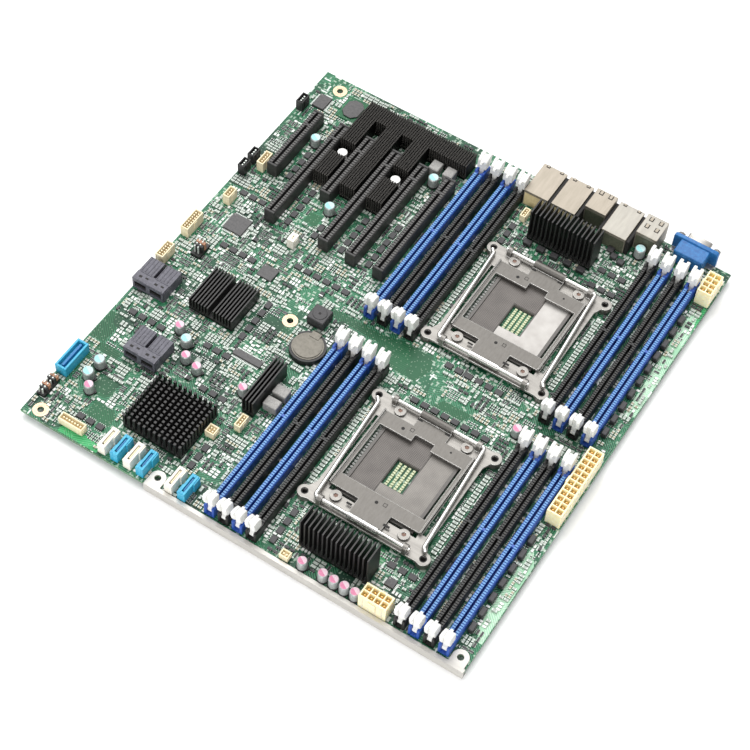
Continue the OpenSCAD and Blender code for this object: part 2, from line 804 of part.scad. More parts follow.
// Rear slot heatsink: a finned spine with three fingers centred between the slots
comb_steps = 12;
comb_step = slot_pitch / comb_steps;
comb_first_x = slot_first_x + 1.5 * slot_pitch;
comb_fins = floor((memory_left_x - tower_w / 2 - 3 - comb_first_x) / comb_step);
comb_right_x = comb_first_x + comb_fins * comb_step + fin_t / 2;
push_pin_rear = 60.5;
push_pin_y = board_d - push_pin_rear;
push_pin_gap = 12;
finger_steps = 3;
finger_half = finger_steps * comb_step + fin_t / 2;
function on_finger(n) =
    (n + finger_steps) % comb_steps <= 2 * finger_steps && n <= 2 * comb_steps + finger_steps;
function finger_x(k) = comb_first_x + k * slot_pitch;

module slot_heatsink() {
    finger_front = comb_spine_front - comb_finger_len;
    left_x = comb_first_x - finger_half;
    color("black") part_frame()
        difference() {
            union() {
                block([left_x, comb_spine_front, board_top],
                      [comb_right_x - left_x, comb_spine_d, sink_base]);
                for (k = [0:2])
                    block([finger_x(k) - finger_half, finger_front, board_top],
                          [2 * finger_half, comb_finger_len + comb_spine_d, sink_base]);
                for (n = [-finger_steps:comb_fins]) {
                    front = on_finger(n) ? finger_front : comb_spine_front;
                    block([comb_first_x + n * comb_step - fin_t / 2, front, board_top],
                          [fin_t, comb_spine_front + comb_spine_d - front, comb_h]);
                }
            }
            for (k = [0, 2]) {
                block([finger_x(k) - finger_half - cut, push_pin_y - push_pin_gap / 2,
                       board_top + sink_base],
                      [2 * (finger_half + cut), push_pin_gap, comb_h]);
                on_board(finger_x(k), push_pin_y)
                    translate([0, 0, -cut]) cylinder(h = comb_h, r = push_pin_r + 0.1);
            }
        }
}

// White push pins that hold the rear slot heatsink
push_pin_r = 1.6;
push_head_r = 3.2;
push_head_h = 3;
push_collar_h = 1;
push_rise = 6;
module heatsink_push_pins() {
    stem_h = sink_base + push_rise;
    color("white") part_frame()
        for (k = [0, 2])
            on_board(finger_x(k), push_pin_y) {
                cylinder(h = stem_h, r = push_pin_r);
                translate([0, 0, sink_base]) cylinder(h = push_collar_h, r = push_head_r);
                translate([0, 0, stem_h - push_head_h]) cylinder(h = push_head_h, r = push_head_r);
            }
}

// Network jack: a metal can with a stepped opening at the rear, from its front left corner
jack_open = [12, 9.4, 14];
module network_jack() {
    open_x = (jack_w - jack_open[0]) / 2;
    key = [6.4, 1.6];
    difference() {
        cube([jack_w, jack_d, jack_h]);
        block([open_x, jack_d - jack_open[2], jack_h - jack_open[1] - can_wall - 0.6],
              [jack_open[0], jack_open[2] + cut, jack_open[1]]);
        block([(jack_w - key[0]) / 2, jack_d - jack_open[2], jack_h - jack_open[1] - can_wall - key[1]],
              [key[0], jack_open[2] + cut, key[1] + cut]);
    }
}

// Stacked USB port: two openings, each with a contact tongue
usb_open = [12.4, 5.2, 11];
module usb_stack() {
    tongue = [10, 1.8, 9];
    level = usb_h / 2;
    difference() {
        cube([usb_w, usb_d, usb_h]);
        for (k = [0, 1])
            block([(usb_w - usb_open[0]) / 2, usb_d - usb_open[2], (k + 0.5) * level - usb_open[1] / 2],
                  [usb_open[0], usb_open[2] + cut, usb_open[1]]);
    }
    for (k = [0, 1])
        block([(usb_w - tongue[0]) / 2, usb_d - usb_open[2] - cut, (k + 0.5) * level],
              [tongue[0], tongue[2] + cut, tongue[1]]);
}

// Rear ports from left to right: jack, jack, USB, jack, USB, then the video port.
// The first five share the space between the latches of the two memory banks.
jack_1_x = memory_left_end - (tower_w - grip_w) / 2 + port_clear;
usb_2_x = memory_right_x - grip_w / 2 - port_clear - usb_w;
port_gap = (usb_2_x - jack_1_x - 3 * jack_w - usb_w) / 4;
jack_2_x = jack_1_x + jack_w + port_gap;
usb_1_x = jack_2_x + jack_w + port_gap;
jack_3_x = usb_1_x + usb_w + port_gap;
video_gap = 5.8;
video_x = usb_2_x + usb_w + video_gap;
module rear_ports() {
    rear = board_d + port_out;
    color("tan") part_frame() {
        for (x = [jack_1_x, jack_2_x, jack_3_x])
            on_board(x, rear - jack_d) network_jack();
        for (x = [usb_1_x, usb_2_x])
            on_board(x, rear - usb_d) usb_stack();
    }
}

// Video port: body, flange, metal shell and two screw posts
video_shell = [16.4, 8.4];
video_post_x = 12.5;
module video_port() {
    mid_z = video_h / 2;
    color("dodgerblue") part_frame()
        on_board(video_x + video_w / 2, board_d + port_out - video_flange_t) {
            block([-video_w / 2, 0, 0], [video_w, video_flange_t, video_h]);
            block([-video_body_w / 2, -video_body_d, 0],
                  [video_body_w, video_body_d + video_flange_t / 2, video_h - 1.2]);
            block([-video_shell[0] / 2, video_flange_t / 2, mid_z - video_shell[1] / 2],
                  [video_shell[0], video_flange_t / 2 + video_shell_len, video_shell[1]]);
            for (side = [-1, 1])
                translate([side * video_post_x, video_flange_t / 2, mid_z])
                    rotate([-90, 0, 0]) cylinder(h = video_flange_t / 2 + 4.6, r = 2.6, $fn = 6);
        }
}

// Power connector: two rows of open cells, running along Y from its front left corner
module power_block(count) {
    cell = power_pitch - power_web;
    difference() {
        cube([power_w, count * power_pitch + 2 * power_wall, power_h]);
        for (row = [0, 1])
            for (i = [0:count - 1])
                block([power_wall + (row + 0.5) * power_pitch - cell / 2,
                       power_wall + (i + 0.5) * power_pitch - cell / 2, sink_base],
                      [cell, cell, power_h]);
    }
}

front_power_gap = 41.9;
rear_power_gap = 14.5;
front_power_x = socket_x + front_power_gap;
module power_connectors() {
    short = 4;
    short_len = short * power_pitch + 2 * power_wall;
    color("wheat") part_frame() {
        on_board(power_x, main_power_y) power_block(12);
        on_board(power_x, board_d - rear_power_gap - short_len) power_block(short);
        on_board(front_power_x, front_row_y) rotate([0, 0, 90]) power_block(short);
    }
}

// Internal storage connector: two open ports at the front, a split tail behind
storage_open = [8.6, 5, 12];
module storage_connector() {
    tail_gap = 2;
    bar_d = 7;
    difference() {
        union() {
            cube([storage_w, storage_d, storage_h - 0.8]);
            cube([storage_w, bar_d, storage_h]);
        }
        for (k = [0, 1])
            block([storage_w * (k + 0.5) / 2 - storage_open[0] / 2, -cut, 2],
                  [storage_open[0], storage_open[2] + cut, storage_open[1]]);
        block([(storage_w - tail_gap) / 2, bar_d, sink_base], [tail_gap, storage_d, storage_h]);
    }
}

storage_places = [[0.3, 110], [27, 65]];
module storage_connectors() {
    color("slategray") part_frame()
        for (p = storage_places) on_board(p[0], p[1]) storage_connector();
}

// SATA port: an upright block with a narrow contact slot
sata_slot = [1.4, 11, 5];
module sata_port() {
    difference() {
        cube([sata_t, sata_len, sata_h]);
        block([(sata_t - sata_slot[0]) / 2, (sata_len - sata_slot[1]) / 2, sata_h - sata_slot[2]],
              [sata_slot[0], sata_slot[1], sata_slot[2] + cut]);
    }
}

// Shrouded header: an open box
module shroud(size) {
    difference() {
        cube(size);
        block([shroud_t, shroud_t, sink_base],
              [size[0] - 2 * shroud_t, size[1] - 2 * shroud_t, size[2]]);
    }
}

sata_first_x = 56;
sata_pair_gap = 8.5;
sata_pair_x = inner_hole_x + sata_pair_gap;
usb_header = [8, 23, 8];
usb_header_place = [0.5, 33];
// Small shrouded headers: place, then width, depth and height
shrouded = [
    [24.5, 5, 17, 5.4, 6],
    [1, 14, 6, 15, 7],
    [0.4, 133.5, 5.8, 13, 8.6],
    [0.4, 160, 5.8, 17, 8.6],
    [15, 150, 7, 12, 9],
    [7.5, 196, 5, 9, 8.6],
    [1, 222, 5, 8, 8.6],
    [1, 233, 5, 8, 8.6],
    [9.6, 231, 5, 11.5, 8.6],
    [1, 289.5, 5, 9, 8.6],
    [112, 58.5, 4.4, 9.6, 6.4],
    [100, 46, 6.4, 6.4, 5.4],
    [171.6, 291.5, 4, 8, 6],
    [61, 189.5, 5, 7, 8],
];
module board_headers() {
    color("deepskyblue") part_frame() {
        for (i = [0:3]) on_board(sata_first_x + i * sata_pitch, front_row_y) sata_port();
        for (i = [0, 1]) on_board(sata_pair_x + i * sata_pitch, front_row_y) sata_port();
        on_board(usb_header_place[0], usb_header_place[1]) shroud(usb_header);
        for (h = shrouded) on_board(h[0], h[1]) shroud([h[2], h[3], h[4]]);
    }
}

// Coin cell in its open holder
cell_to_memory = 17.2;
cell_y = 130.5;
cell_place = [memory_left_x - cell_to_memory, cell_y];
module battery_holder() {
    outer_r = cell_r + cell_clear + holder_wall;
    wall_h = holder_floor + cell_t - 0.8;
    color("black") part_frame()
        on_board(cell_place[0], cell_place[1])
            difference() {
                cylinder(h = wall_h, r = outer_r);
                translate([0, 0, holder_floor]) cylinder(h = wall_h, r = cell_r + cell_clear);
                block([-outer_r - cut, -cell_r / 2, holder_floor], [outer_r, cell_r, wall_h]);
            }
}

module coin_cell() {
    step = 0.5;
    color("silver") part_frame()
        on_board(cell_place[0], cell_place[1])
            translate([0, 0, holder_floor]) {
                cylinder(h = cell_t - step, r = cell_r);
                cylinder(h = cell_t, r = cell_r - 1.2);
            }
}

// Can capacitors, each on its square foot
module can_capacitor(r) {
    foot = 1.2;
    block([-r, -r, 0], [2 * r, 2 * r, foot]);
    cylinder(h = can_h, r = r);
}

small_cans = [[60.5, 82.5], [25.8, 33], [102, 82.5], [44.6, 98.5], [70.5, 79.5]];
large_cans = [[20, 51], [19.6, 40.5], [53.6, 92.5]];
rear_large_cans = [[29.4, 59.5], [68.4, 102.5], [110.8, 44.6]];
front_row_cans = [-15, -1.2, 6, 13, 20];
middle_can = [41, 149];
port_can = [7, 20];
module capacitors() {
    front_can_y = front_row_y + small_can_r;
    color("orchid") part_frame() {
        for (c = small_cans) on_board(c[0], c[1]) can_capacitor(small_can_r);
        for (c = large_cans) on_board(c[0], c[1]) can_capacitor(large_can_r);
        for (c = rear_large_cans) on_board(c[0], board_d - c[1]) can_capacitor(large_can_r);
        for (x = front_row_cans) on_board(socket_x + x, front_can_y) can_capacitor(small_can_r);
        on_board(socket_x + middle_can[0], middle_can[1]) can_capacitor(small_can_r);
        on_board(usb_2_x + port_can[0], board_d - port_can[1]) can_capacitor(large_can_r);
    }
}

// Chips and chokes that stand out: each is a block with a pitched or stepped top
module stepped_block(size, inset) {
    cube([size[0], size[1], size[2] * 0.6]);
    block([inset, inset, 0], [size[0] - 2 * inset, size[1] - 2 * inset, size[2]]);
}

buzzer_size = 12;
buzzer_h = 8;
buzzer_hole_r = 1.1;
module buzzer() {
    difference() {
        cube([buzzer_size, buzzer_size, buzzer_h]);
        translate([buzzer_size / 2, buzzer_size / 2, buzzer_h / 2])
            cylinder(h = buzzer_h, r = buzzer_hole_r);
    }
}

choke_to_memory = 12.2;
choke_x = memory_left_x - tower_w / 2 - choke_to_memory;
choke_size = [9.4, 7, choke_h];
choke_ys = [80, 90];
rear_choke_size = [7, 8.4, choke_h];
rear_choke_xs = [102.8, 113.3];
rear_choke_y = 38.6;
low_choke_size = [3.4, 6, low_choke_h];
low_choke_gap = 0.6;
low_choke_pitch = 11;
front_low_y = 22;
rear_low_y = 176;
// Chips: place, width and depth, with the rear ones measured from the rear edge
chips = [[19, 179, 14, 14], [58, 160, 11, 10], [80, 102.5, 20, 5], [240, 21, 6, 6]];
rear_chips = [[26, 31, 14.5, 22], [8, 32, 9, 12]];
choke_edge = 0.6;
chip_edge = 0.3;
buzzer_place = [12, 147];

// Dark parts under the front of the rear regulator heatsink
leg_size = [5.4, 4, 3.4];
leg_pitch = 9.6;
leg_in = 0.4;
leg_gap = 1.9;
module sink_legs() {
    for (i = [0:4])
        on_board(tall_rear_x + leg_in + i * leg_pitch, tall_rear_front - leg_gap - leg_size[1])
            stepped_block(leg_size, choke_edge);
}

// Rows of capacitors on both sides of each socket
row_cap_count = 24;
row_cap_edge = 0.7;
row_cap_first = -32;
module socket_capacitors() {
    outer = frame_half - row_cap_edge;
    for (socket_y = socket_ys)
        for (x = [-outer, outer - row_cap_len])
            for (i = [0:row_cap_count - 1])
                on_board(socket_x + x, socket_y + row_cap_first + i * row_cap_pitch)
                    cube([row_cap_len, row_cap_w, row_cap_h]);
}

// One row of driver chips, along X or along Y
module driver_row(x, y, count, upright) {
    for (i = [0:count - 1])
        on_board(x + (upright ? 0 : i * driver_pitch), y + (upright ? i * driver_pitch : 0))
            cube(upright ? [driver_w, driver_len, driver_h] : [driver_len, driver_w, driver_h]);
}

// Rows of driver chips: place of the first, count and direction. Most are measured from the front
// left corner, some from a socket's centre line or from the rear edge.
front_drivers = [
    [10, 92, 4, false], [78, 70, 3, false], [62, 97, 3, false], [76, 114, 5, true], [26, 166, 4, false],
    [74, 178, 6, false], [104, 22, 3, true], [12, 208, 3, false], [30, 14, 3, false], [171, 8, 4, true],
];
socket_drivers = [[-24, 134, 8, false], [-20, 167, 6, false], [24, 32, 3, false]];
rear_drivers = [[169, 62, 3, true], [233, 60, 3, false], [233, 46, 3, false]];
// Driver chips in the gaps between the expansion slots, from the left
gap_drivers = [4, 5, 2, 5, 6];
gap_driver_in = 4.5;
short_gap_in = 3.5;
module driver_chips() {
    for (d = front_drivers) driver_row(d[0], d[1], d[2], d[3]);
    for (d = socket_drivers) driver_row(socket_x + d[0], d[1], d[2], d[3]);
    for (d = rear_drivers) driver_row(d[0], board_d - d[1], d[2], d[3]);
    for (i = [0:len(gap_drivers) - 1])
        driver_row(slot_first_x + (i + 0.5) * slot_pitch - driver_w / 2,
                   slot_end_y - (i == 0 ? slot_short - short_gap_in : slot_long - gap_driver_in),
                   gap_drivers[i], true);
}

module chips_and_chokes() {
    low_x = memory_right_end + low_choke_gap;
    color("dimgray") part_frame() {
        for (y = choke_ys) on_board(choke_x, y) stepped_block(choke_size, choke_edge);
        for (x = rear_choke_xs)
            on_board(x, board_d - rear_choke_y) stepped_block(rear_choke_size, choke_edge);
        for (i = [0:6])
            on_board(low_x, front_low_y + i * low_choke_pitch) stepped_block(low_choke_size, choke_edge);
        for (i = [0:9])
            on_board(low_x, rear_low_y + i * low_choke_pitch) stepped_block(low_choke_size, choke_edge);
        for (c = chips) on_board(c[0], c[1]) stepped_block([c[2], c[3], chip_t], chip_edge);
        for (c = rear_chips) on_board(c[0], board_d - c[1]) stepped_block([c[2], c[3], chip_t], chip_edge);
        on_board(cell_place[0] - buzzer_place[0], buzzer_place[1]) buzzer();
        sink_legs();
        socket_capacitors();
        driver_chips();
    }
}

circuit_board();
front_stiffener();
memory_slots();
expansion_slots();
cpu_sockets();
socket_frames();
socket_backplates();
socket_screws();
chipset_heatsink();
controller_heatsink();
regulator_heatsinks();
slot_heatsink();
heatsink_push_pins();
rear_ports();
video_port();
power_connectors();
storage_connectors();
board_headers();
battery_holder();
coin_cell();
capacitors();
chips_and_chokes();
for (i = [0, 1]) {
    load_plate(i);
    for (e = [0, 1])
        lever(i, e);
}
for (b = [0:3])
    for (p = [0:bank_size - 1])
        for (e = [0, 1])
            placed_latch(b, p, e);
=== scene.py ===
# %% [markdown]
# # Dressing a two-socket server board
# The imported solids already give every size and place, so they are loaded first and left alone.
# Each later step either gives a solid a better finish or models a piece that stands for it.

# %% Load the frame
import bmesh
import bpy
import math
import random
from mathutils import Matrix, Vector, noise


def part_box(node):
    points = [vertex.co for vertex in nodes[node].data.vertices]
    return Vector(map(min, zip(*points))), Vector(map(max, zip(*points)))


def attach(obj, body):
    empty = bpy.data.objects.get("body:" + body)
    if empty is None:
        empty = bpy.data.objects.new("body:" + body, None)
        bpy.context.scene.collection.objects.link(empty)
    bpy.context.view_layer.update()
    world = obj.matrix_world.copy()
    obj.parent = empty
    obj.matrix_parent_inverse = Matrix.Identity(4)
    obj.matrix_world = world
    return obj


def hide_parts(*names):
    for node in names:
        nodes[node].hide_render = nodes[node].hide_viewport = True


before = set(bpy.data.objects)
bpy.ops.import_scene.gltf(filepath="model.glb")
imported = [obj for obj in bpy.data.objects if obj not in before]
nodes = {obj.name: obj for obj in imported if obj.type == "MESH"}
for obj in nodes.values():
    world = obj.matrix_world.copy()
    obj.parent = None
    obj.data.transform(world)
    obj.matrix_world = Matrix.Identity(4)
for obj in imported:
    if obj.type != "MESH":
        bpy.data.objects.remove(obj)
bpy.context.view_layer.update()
print("nodes in the frame:", len(nodes))

# %% [markdown]
# Places on a board are easiest to read in millimetres from one corner of it.
# This helper turns such a place, with its height above the top face, into metres in the frame.

# %% Board millimetres
MM = 0.001
board_low, board_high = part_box("circuit_board")
BOARD_W = (board_high.x - board_low.x) / MM
BOARD_D = (board_high.y - board_low.y) / MM


def spot(x, y, z=0.0):
    """A place in board millimetres, from the front left corner of the top face, in metres."""
    return Vector((board_low.x + x * MM, board_low.y + y * MM, board_high.z + z * MM))


print("board:", round(BOARD_W, 1), "by", round(BOARD_D, 1), "mm")

# %% [markdown]
# The camera stands where the photographer stood. A tilt from straight down, a turn about the
# upright axis and a slight roll give its direction, and a long lens its narrow view.

# %% Camera
CAMERA_SPOT = (462.2, -417.6, 923.8)
CAMERA_TURN, CAMERA_TILT, CAMERA_ROLL = 28.55, 34.416, 4.732
LENS_MM, SENSOR_MM = 89.25, 36.0
VIEW_REACH = 20.0

camera = bpy.data.objects.new("camera", bpy.data.cameras.new("camera"))
camera.data.lens = LENS_MM
camera.data.sensor_width = SENSOR_MM
camera.data.clip_end = VIEW_REACH
camera.matrix_world = (
    Matrix.Translation(spot(*CAMERA_SPOT))
    @ Matrix.Rotation(math.radians(CAMERA_TURN), 4, "Z")
    @ Matrix.Rotation(math.radians(CAMERA_TILT), 4, "X")
    @ Matrix.Rotation(math.radians(CAMERA_ROLL), 4, "Z")
)
scene = bpy.context.scene
scene.collection.objects.link(camera)
scene.camera = camera
print("camera lens:", LENS_MM, "mm")

# %% [markdown]
# A product picture has a pale sweep and broad, soft light, so that black fins keep their edges
# and bare steel has something bright to reflect. One wide light overhead does most of the work.

# %% Floor and light
FLOOR_REACH = 6.0
SKY_STRENGTH = 0.55
scene.view_settings.view_transform = "Standard"


def soft_light(name, place, size, power):
    """A square area light in metres that looks at the middle of the board."""
    lamp = bpy.data.lights.new(name, "AREA")
    lamp.size = size
    lamp.energy = power
    light = bpy.data.objects.new(name, lamp)
    facing = (-Vector(place)).to_track_quat("-Z", "Y").to_matrix().to_4x4()
    light.matrix_world = Matrix.Translation(place) @ facing
    scene.collection.objects.link(light)


floor_mesh = bpy.data.meshes.new("floor")
floor_bm = bmesh.new()
bmesh.ops.create_grid(floor_bm, x_segments=1, y_segments=1, size=FLOOR_REACH)
floor_bm.to_mesh(floor_mesh)
floor_bm.free()
floor = bpy.data.objects.new("floor", floor_mesh)
scene.collection.objects.link(floor)
soft_light("overhead", (-0.5, 0.6, 1.7), 1.8, 41)
soft_light("front_fill", (0.3, -1.6, 0.8), 1.0, 14)
world = bpy.data.worlds.new("studio")
world.use_nodes = True
sky = world.node_tree.nodes["Background"].inputs
sky["Color"].default_value = (1, 1, 1, 1)
sky["Strength"].default_value = SKY_STRENGTH
scene.world = world

# %% [markdown]
# Every finish here is built from nodes, so it has grain at its own scale and needs no picture.
# Most of the moulded and metal parts share one recipe: a tone that drifts between two colours,
# a little change of gloss, a fine bump, and a bevel in the shading that catches light on edges.
# Colours are written as they look on a screen, from 0 to 255.

# %% Finish helpers


def linear(red, green, blue):
    """A screen colour in the linear values that a shader takes."""
    def channel(value):
        share = value / 255
        return share / 12.92 if share <= 0.04045 else ((share + 0.055) / 1.055) ** 2.4
    return (channel(red), channel(green), channel(blue), 1.0)


def add(tree, kind, **settings):
    """A shader node: settings with a capital fill its sockets, the others its properties."""
    made = tree.nodes.new("ShaderNode" + kind)
    for name, value in settings.items():
        if name[0].isupper():
            made.inputs[name.replace("_", " ")].default_value = value
        else:
            setattr(made, name, value)
    return made


def main_shader(finish):
    """The sockets of a finish's main shader."""
    return finish.node_tree.nodes["Principled BSDF"].inputs


def new_finish(name, roughness, metallic=0.0):
    """A new material with its tree and the sockets of its main shader."""
    finish = bpy.data.materials.new(name)
    finish.use_nodes = True
    shader = main_shader(finish)
    shader["Roughness"].default_value = roughness
    shader["Metallic"].default_value = metallic
    return finish, finish.node_tree, shader


def tones(tree, factor, *stops):
    """A colour ramp through (position, screen colour) stops, read by a factor."""
    made = add(tree, "ValToRGB")
    for element, (position, colour) in zip(made.color_ramp.elements, stops):
        element.position = position
        element.color = linear(*colour)
    tree.links.new(factor, made.inputs["Fac"])
    return made.outputs["Color"]


def maths(tree, operation, *values):
    """The result of a maths node fed by sockets or plain numbers."""
    made = add(tree, "Math", operation=operation)
    for socket, value in zip(made.inputs, values):
        if isinstance(value, (int, float)):
            socket.default_value = value
        else:
            tree.links.new(value, socket)
    return made.outputs[0]


def blend(tree, share, base, colour):
    """A colour socket with a share of a screen colour blended in."""
    made = add(tree, "Mix", data_type="RGBA")
    tree.links.new(share, made.inputs[0])
    tree.links.new(base, made.inputs[6])
    made.inputs[7].default_value = linear(*colour)
    return made.outputs[2]


def grained(name, dark, light, grain, roughness, metallic=0.0, bump=0.15, stretch=(1, 1, 1),
            edge=0.0, highlight_colour=None):
    """A tone that drifts between two colours over a grain in millimetres. An edge width softens the
    edges in the shading, and a highlight colour paints a highlight along them."""
    finish, tree, shader = new_finish(name, roughness, metallic)
    link = tree.links.new
    place = add(tree, "TexCoord")
    lay = add(tree, "Mapping", Scale=stretch)
    speckle = add(tree, "TexNoise", Scale=1 / (grain * MM), Detail=4.0, Roughness=0.6)
    gloss = add(tree, "MapRange", To_Min=roughness * 0.85, To_Max=min(1.0, roughness * 1.15))
    raised = add(tree, "Bump", Strength=bump, Distance=0.1 * MM)
    link(place.outputs["Object"], lay.inputs["Vector"])
    link(lay.outputs["Vector"], speckle.inputs["Vector"])
    colour = tones(tree, speckle.outputs["Fac"], (0.3, dark), (0.7, light))
    link(speckle.outputs["Fac"], gloss.inputs["Value"])
    link(gloss.outputs["Result"], shader["Roughness"])
    link(speckle.outputs["Fac"], raised.inputs["Height"])
    if edge:
        soft = add(tree, "Bevel", samples=4, Radius=edge * MM)
        link(soft.outputs["Normal"], raised.inputs["Normal"])
        if highlight_colour:
            # Painted highlight: the highlight colour is blended in wherever the bevel bends the shading
            # normal, along every edge.
            flat = add(tree, "NewGeometry")
            level = add(tree, "VectorMath", operation="DOT_PRODUCT")
            link(soft.outputs["Normal"], level.inputs[0])
            link(flat.outputs["Normal"], level.inputs[1])
            painted_highlight = add(tree, "MapRange", From_Min=0.99, From_Max=0.9)
            link(level.outputs["Value"], painted_highlight.inputs["Value"])
            colour = blend(tree, painted_highlight.outputs["Result"], colour, highlight_colour)
    link(colour, shader["Base Color"])
    link(raised.outputs["Normal"], shader["Normal"])
    return finish


print("finish helpers ready")

# %% [markdown]
# The moulded parts are nylon with a soft satin grain. The toothed rails of the slots get a lighter
# tone of their own, because their many small edges catch the light.

# %% Plastics
blue_nylon = grained("blue_nylon", (28, 62, 148), (50, 96, 184), 1.2, 0.45)
blue_teeth = grained("blue_teeth", (82, 134, 192), (108, 158, 208), 0.9, 0.45)
dark_nylon = grained("dark_nylon", (15, 15, 15), (30, 29, 28), 1.2, 0.48)
dark_teeth = grained("dark_teeth", (24, 24, 23), (46, 45, 43), 0.9, 0.45)
slot_grey = grained("slot_grey", (36, 35, 35), (58, 57, 56), 1.5, 0.48)
slot_teeth = grained("slot_teeth", (56, 55, 54), (88, 86, 84), 0.9, 0.45)
latch_white = grained("latch_white", (226, 226, 222), (246, 246, 243), 2.0, 0.4)
ivory_nylon = grained("ivory_nylon", (252, 232, 180), (255, 244, 208), 1.6, 0.45, edge=0.2)
cream_nylon = grained("cream_nylon", (226, 210, 170), (246, 236, 206), 1.4, 0.45)
white_nylon = grained("white_nylon", (228, 221, 206), (246, 242, 232), 1.4, 0.45)
cyan_nylon = grained("cyan_nylon", (30, 142, 184), (68, 184, 214), 1.4, 0.4)
shaded_blue = grained("shaded_blue", (16, 98, 156), (34, 126, 184), 1.2, 0.45)
video_blue = grained("video_blue", (20, 86, 150), (44, 120, 182), 2.0, 0.4, edge=0.25)
storage_grey = grained("storage_grey", (70, 69, 78), (104, 103, 113), 1.6, 0.5, edge=0.25)
black_plastic = grained("black_plastic", (18, 18, 19), (38, 37, 37), 1.5, 0.5)
choke_grey = grained("choke_grey", (128, 126, 124), (172, 170, 166), 0.8, 0.55)
socket_grey = grained("socket_grey", (84, 80, 77), (106, 102, 98), 1.0, 0.5, edge=0.2)
print("finishes with plastics:", len(bpy.data.materials))

# %% [markdown]
# Black anodised aluminium is nearly matt, and plated sheet steel shows the faint streaks of the
# rolling mill. Some of these finishes paint a highlight along every edge, lighter than the metal itself.

# %% Metals
ROLLED = (0.1, 1, 1)
DRAWN = (1, 0.15, 1)
# The edge colours below, given last to some finishes, are painted highlights along every edge.
STEEL_HIGHLIGHT = (242, 240, 236)
fin_black = grained("fin_black", (12, 11, 11), (26, 25, 25), 1.4, 0.45, edge=0.22, highlight_colour=(84, 81, 78))
comb_black = grained("comb_black", (6, 6, 6), (14, 13, 13), 1.4, 0.5, edge=0.45, highlight_colour=(122, 118, 113))
main_shader(comb_black)["Specular IOR Level"].default_value = 0.15
plated_steel = grained(
    "plated_steel", (98, 95, 91), (114, 111, 107), 1.6, 0.5, 0.8, 0.08, (1, 0.3, 1), 0.8, STEEL_HIGHLIGHT)
frame_steel = grained(
    "frame_steel", (122, 119, 115), (150, 147, 142), 3.0, 0.44, 0.8, 0.08, ROLLED, 0.8, STEEL_HIGHLIGHT)
lever_steel = grained("lever_steel", (206, 204, 200), (236, 234, 230), 2.0, 0.25, 0.9, 0.05)
bright_steel = grained("bright_steel", (150, 147, 142), (184, 181, 176), 2.0, 0.32, 0.9, 0.06, ROLLED, 0.3)
strip_steel = grained("strip_steel", (186, 183, 177), (206, 203, 197), 4.0, 0.5, 0.5, 0.05, ROLLED, 0.3)
port_nickel = grained("port_nickel", (148, 140, 127), (168, 159, 146), 3.0, 0.5, 0.6, 0.05, DRAWN, 0.3)
lit_nickel = grained("lit_nickel", (154, 150, 142), (176, 172, 163), 3.0, 0.5, 0.6, 0.05, DRAWN, 0.3)
cell_nickel = grained("cell_nickel", (92, 89, 82), (114, 110, 102), 2.5, 0.45, 0.7, 0.06)
tin = grained("tin", (144, 151, 144), (194, 201, 194), 0.6, 0.4, 0.5)
gold = grained("gold", (176, 132, 72), (214, 176, 112), 0.8, 0.35, 0.8)
pale_gold = grained("pale_gold", (222, 204, 162), (244, 232, 204), 0.8, 0.45, 0.2)
solder = grained("solder", (188, 194, 188), (224, 230, 224), 0.6, 0.4, 0.3)
gilt = grained("gilt", (206, 168, 136), (234, 203, 176), 1.0, 0.4, 0.4)
can_aluminium = grained("can_aluminium", (150, 154, 154), (190, 194, 192), 1.0, 0.4, 0.4)
print("finishes with metals:", len(bpy.data.materials))

# %% [markdown]
# A circuit board is never one green. Copper under the mask shows as lighter traces, each patch of
# the board runs its traces in its own direction, and bare pads, holes and white print lie on top.
# The underside is mostly poured copper, and the cut edge shows the pale glass of the laminate.

# %% Solder mask
DRIFT, PATCH, TRACE = 22 * MM, 15 * MM, 1.3 * MM
SKIN = 0.15 * MM
PRINT = (
    (2.6, 0.2, (0.5, 1, 1), (176, 192, 176)), (2.6, 0.2, (1, 0.5, 1), (160, 182, 164)),
    (5.0, 0.1, (0.2, 1, 1), (232, 238, 232)), (5.0, 0.1, (1, 0.2, 1), (232, 238, 232)))


def marks(tree, place, size, share, stretch=(1, 1, 1), keep=0.5, metric="CHEBYCHEV", disorder=1.0):
    """Scattered marks, 1 on a mark and 0 off it: a cell size in millimetres and a share of the cell.
    Without disorder the marks are a grid."""
    lay = add(tree, "Mapping", Scale=stretch)
    cells = add(tree, "TexVoronoi", voronoi_dimensions="2D", distance=metric, Scale=1 / (size * MM),
                Randomness=disorder)
    tree.links.new(place, lay.inputs["Vector"])
    tree.links.new(lay.outputs["Vector"], cells.inputs["Vector"])
    tone = add(tree, "SeparateColor")
    tree.links.new(cells.outputs["Color"], tone.inputs["Color"])
    near = maths(tree, "LESS_THAN", cells.outputs["Distance"], share)
    return maths(tree, "MULTIPLY", near, maths(tree, "LESS_THAN", tone.outputs["Red"], keep))


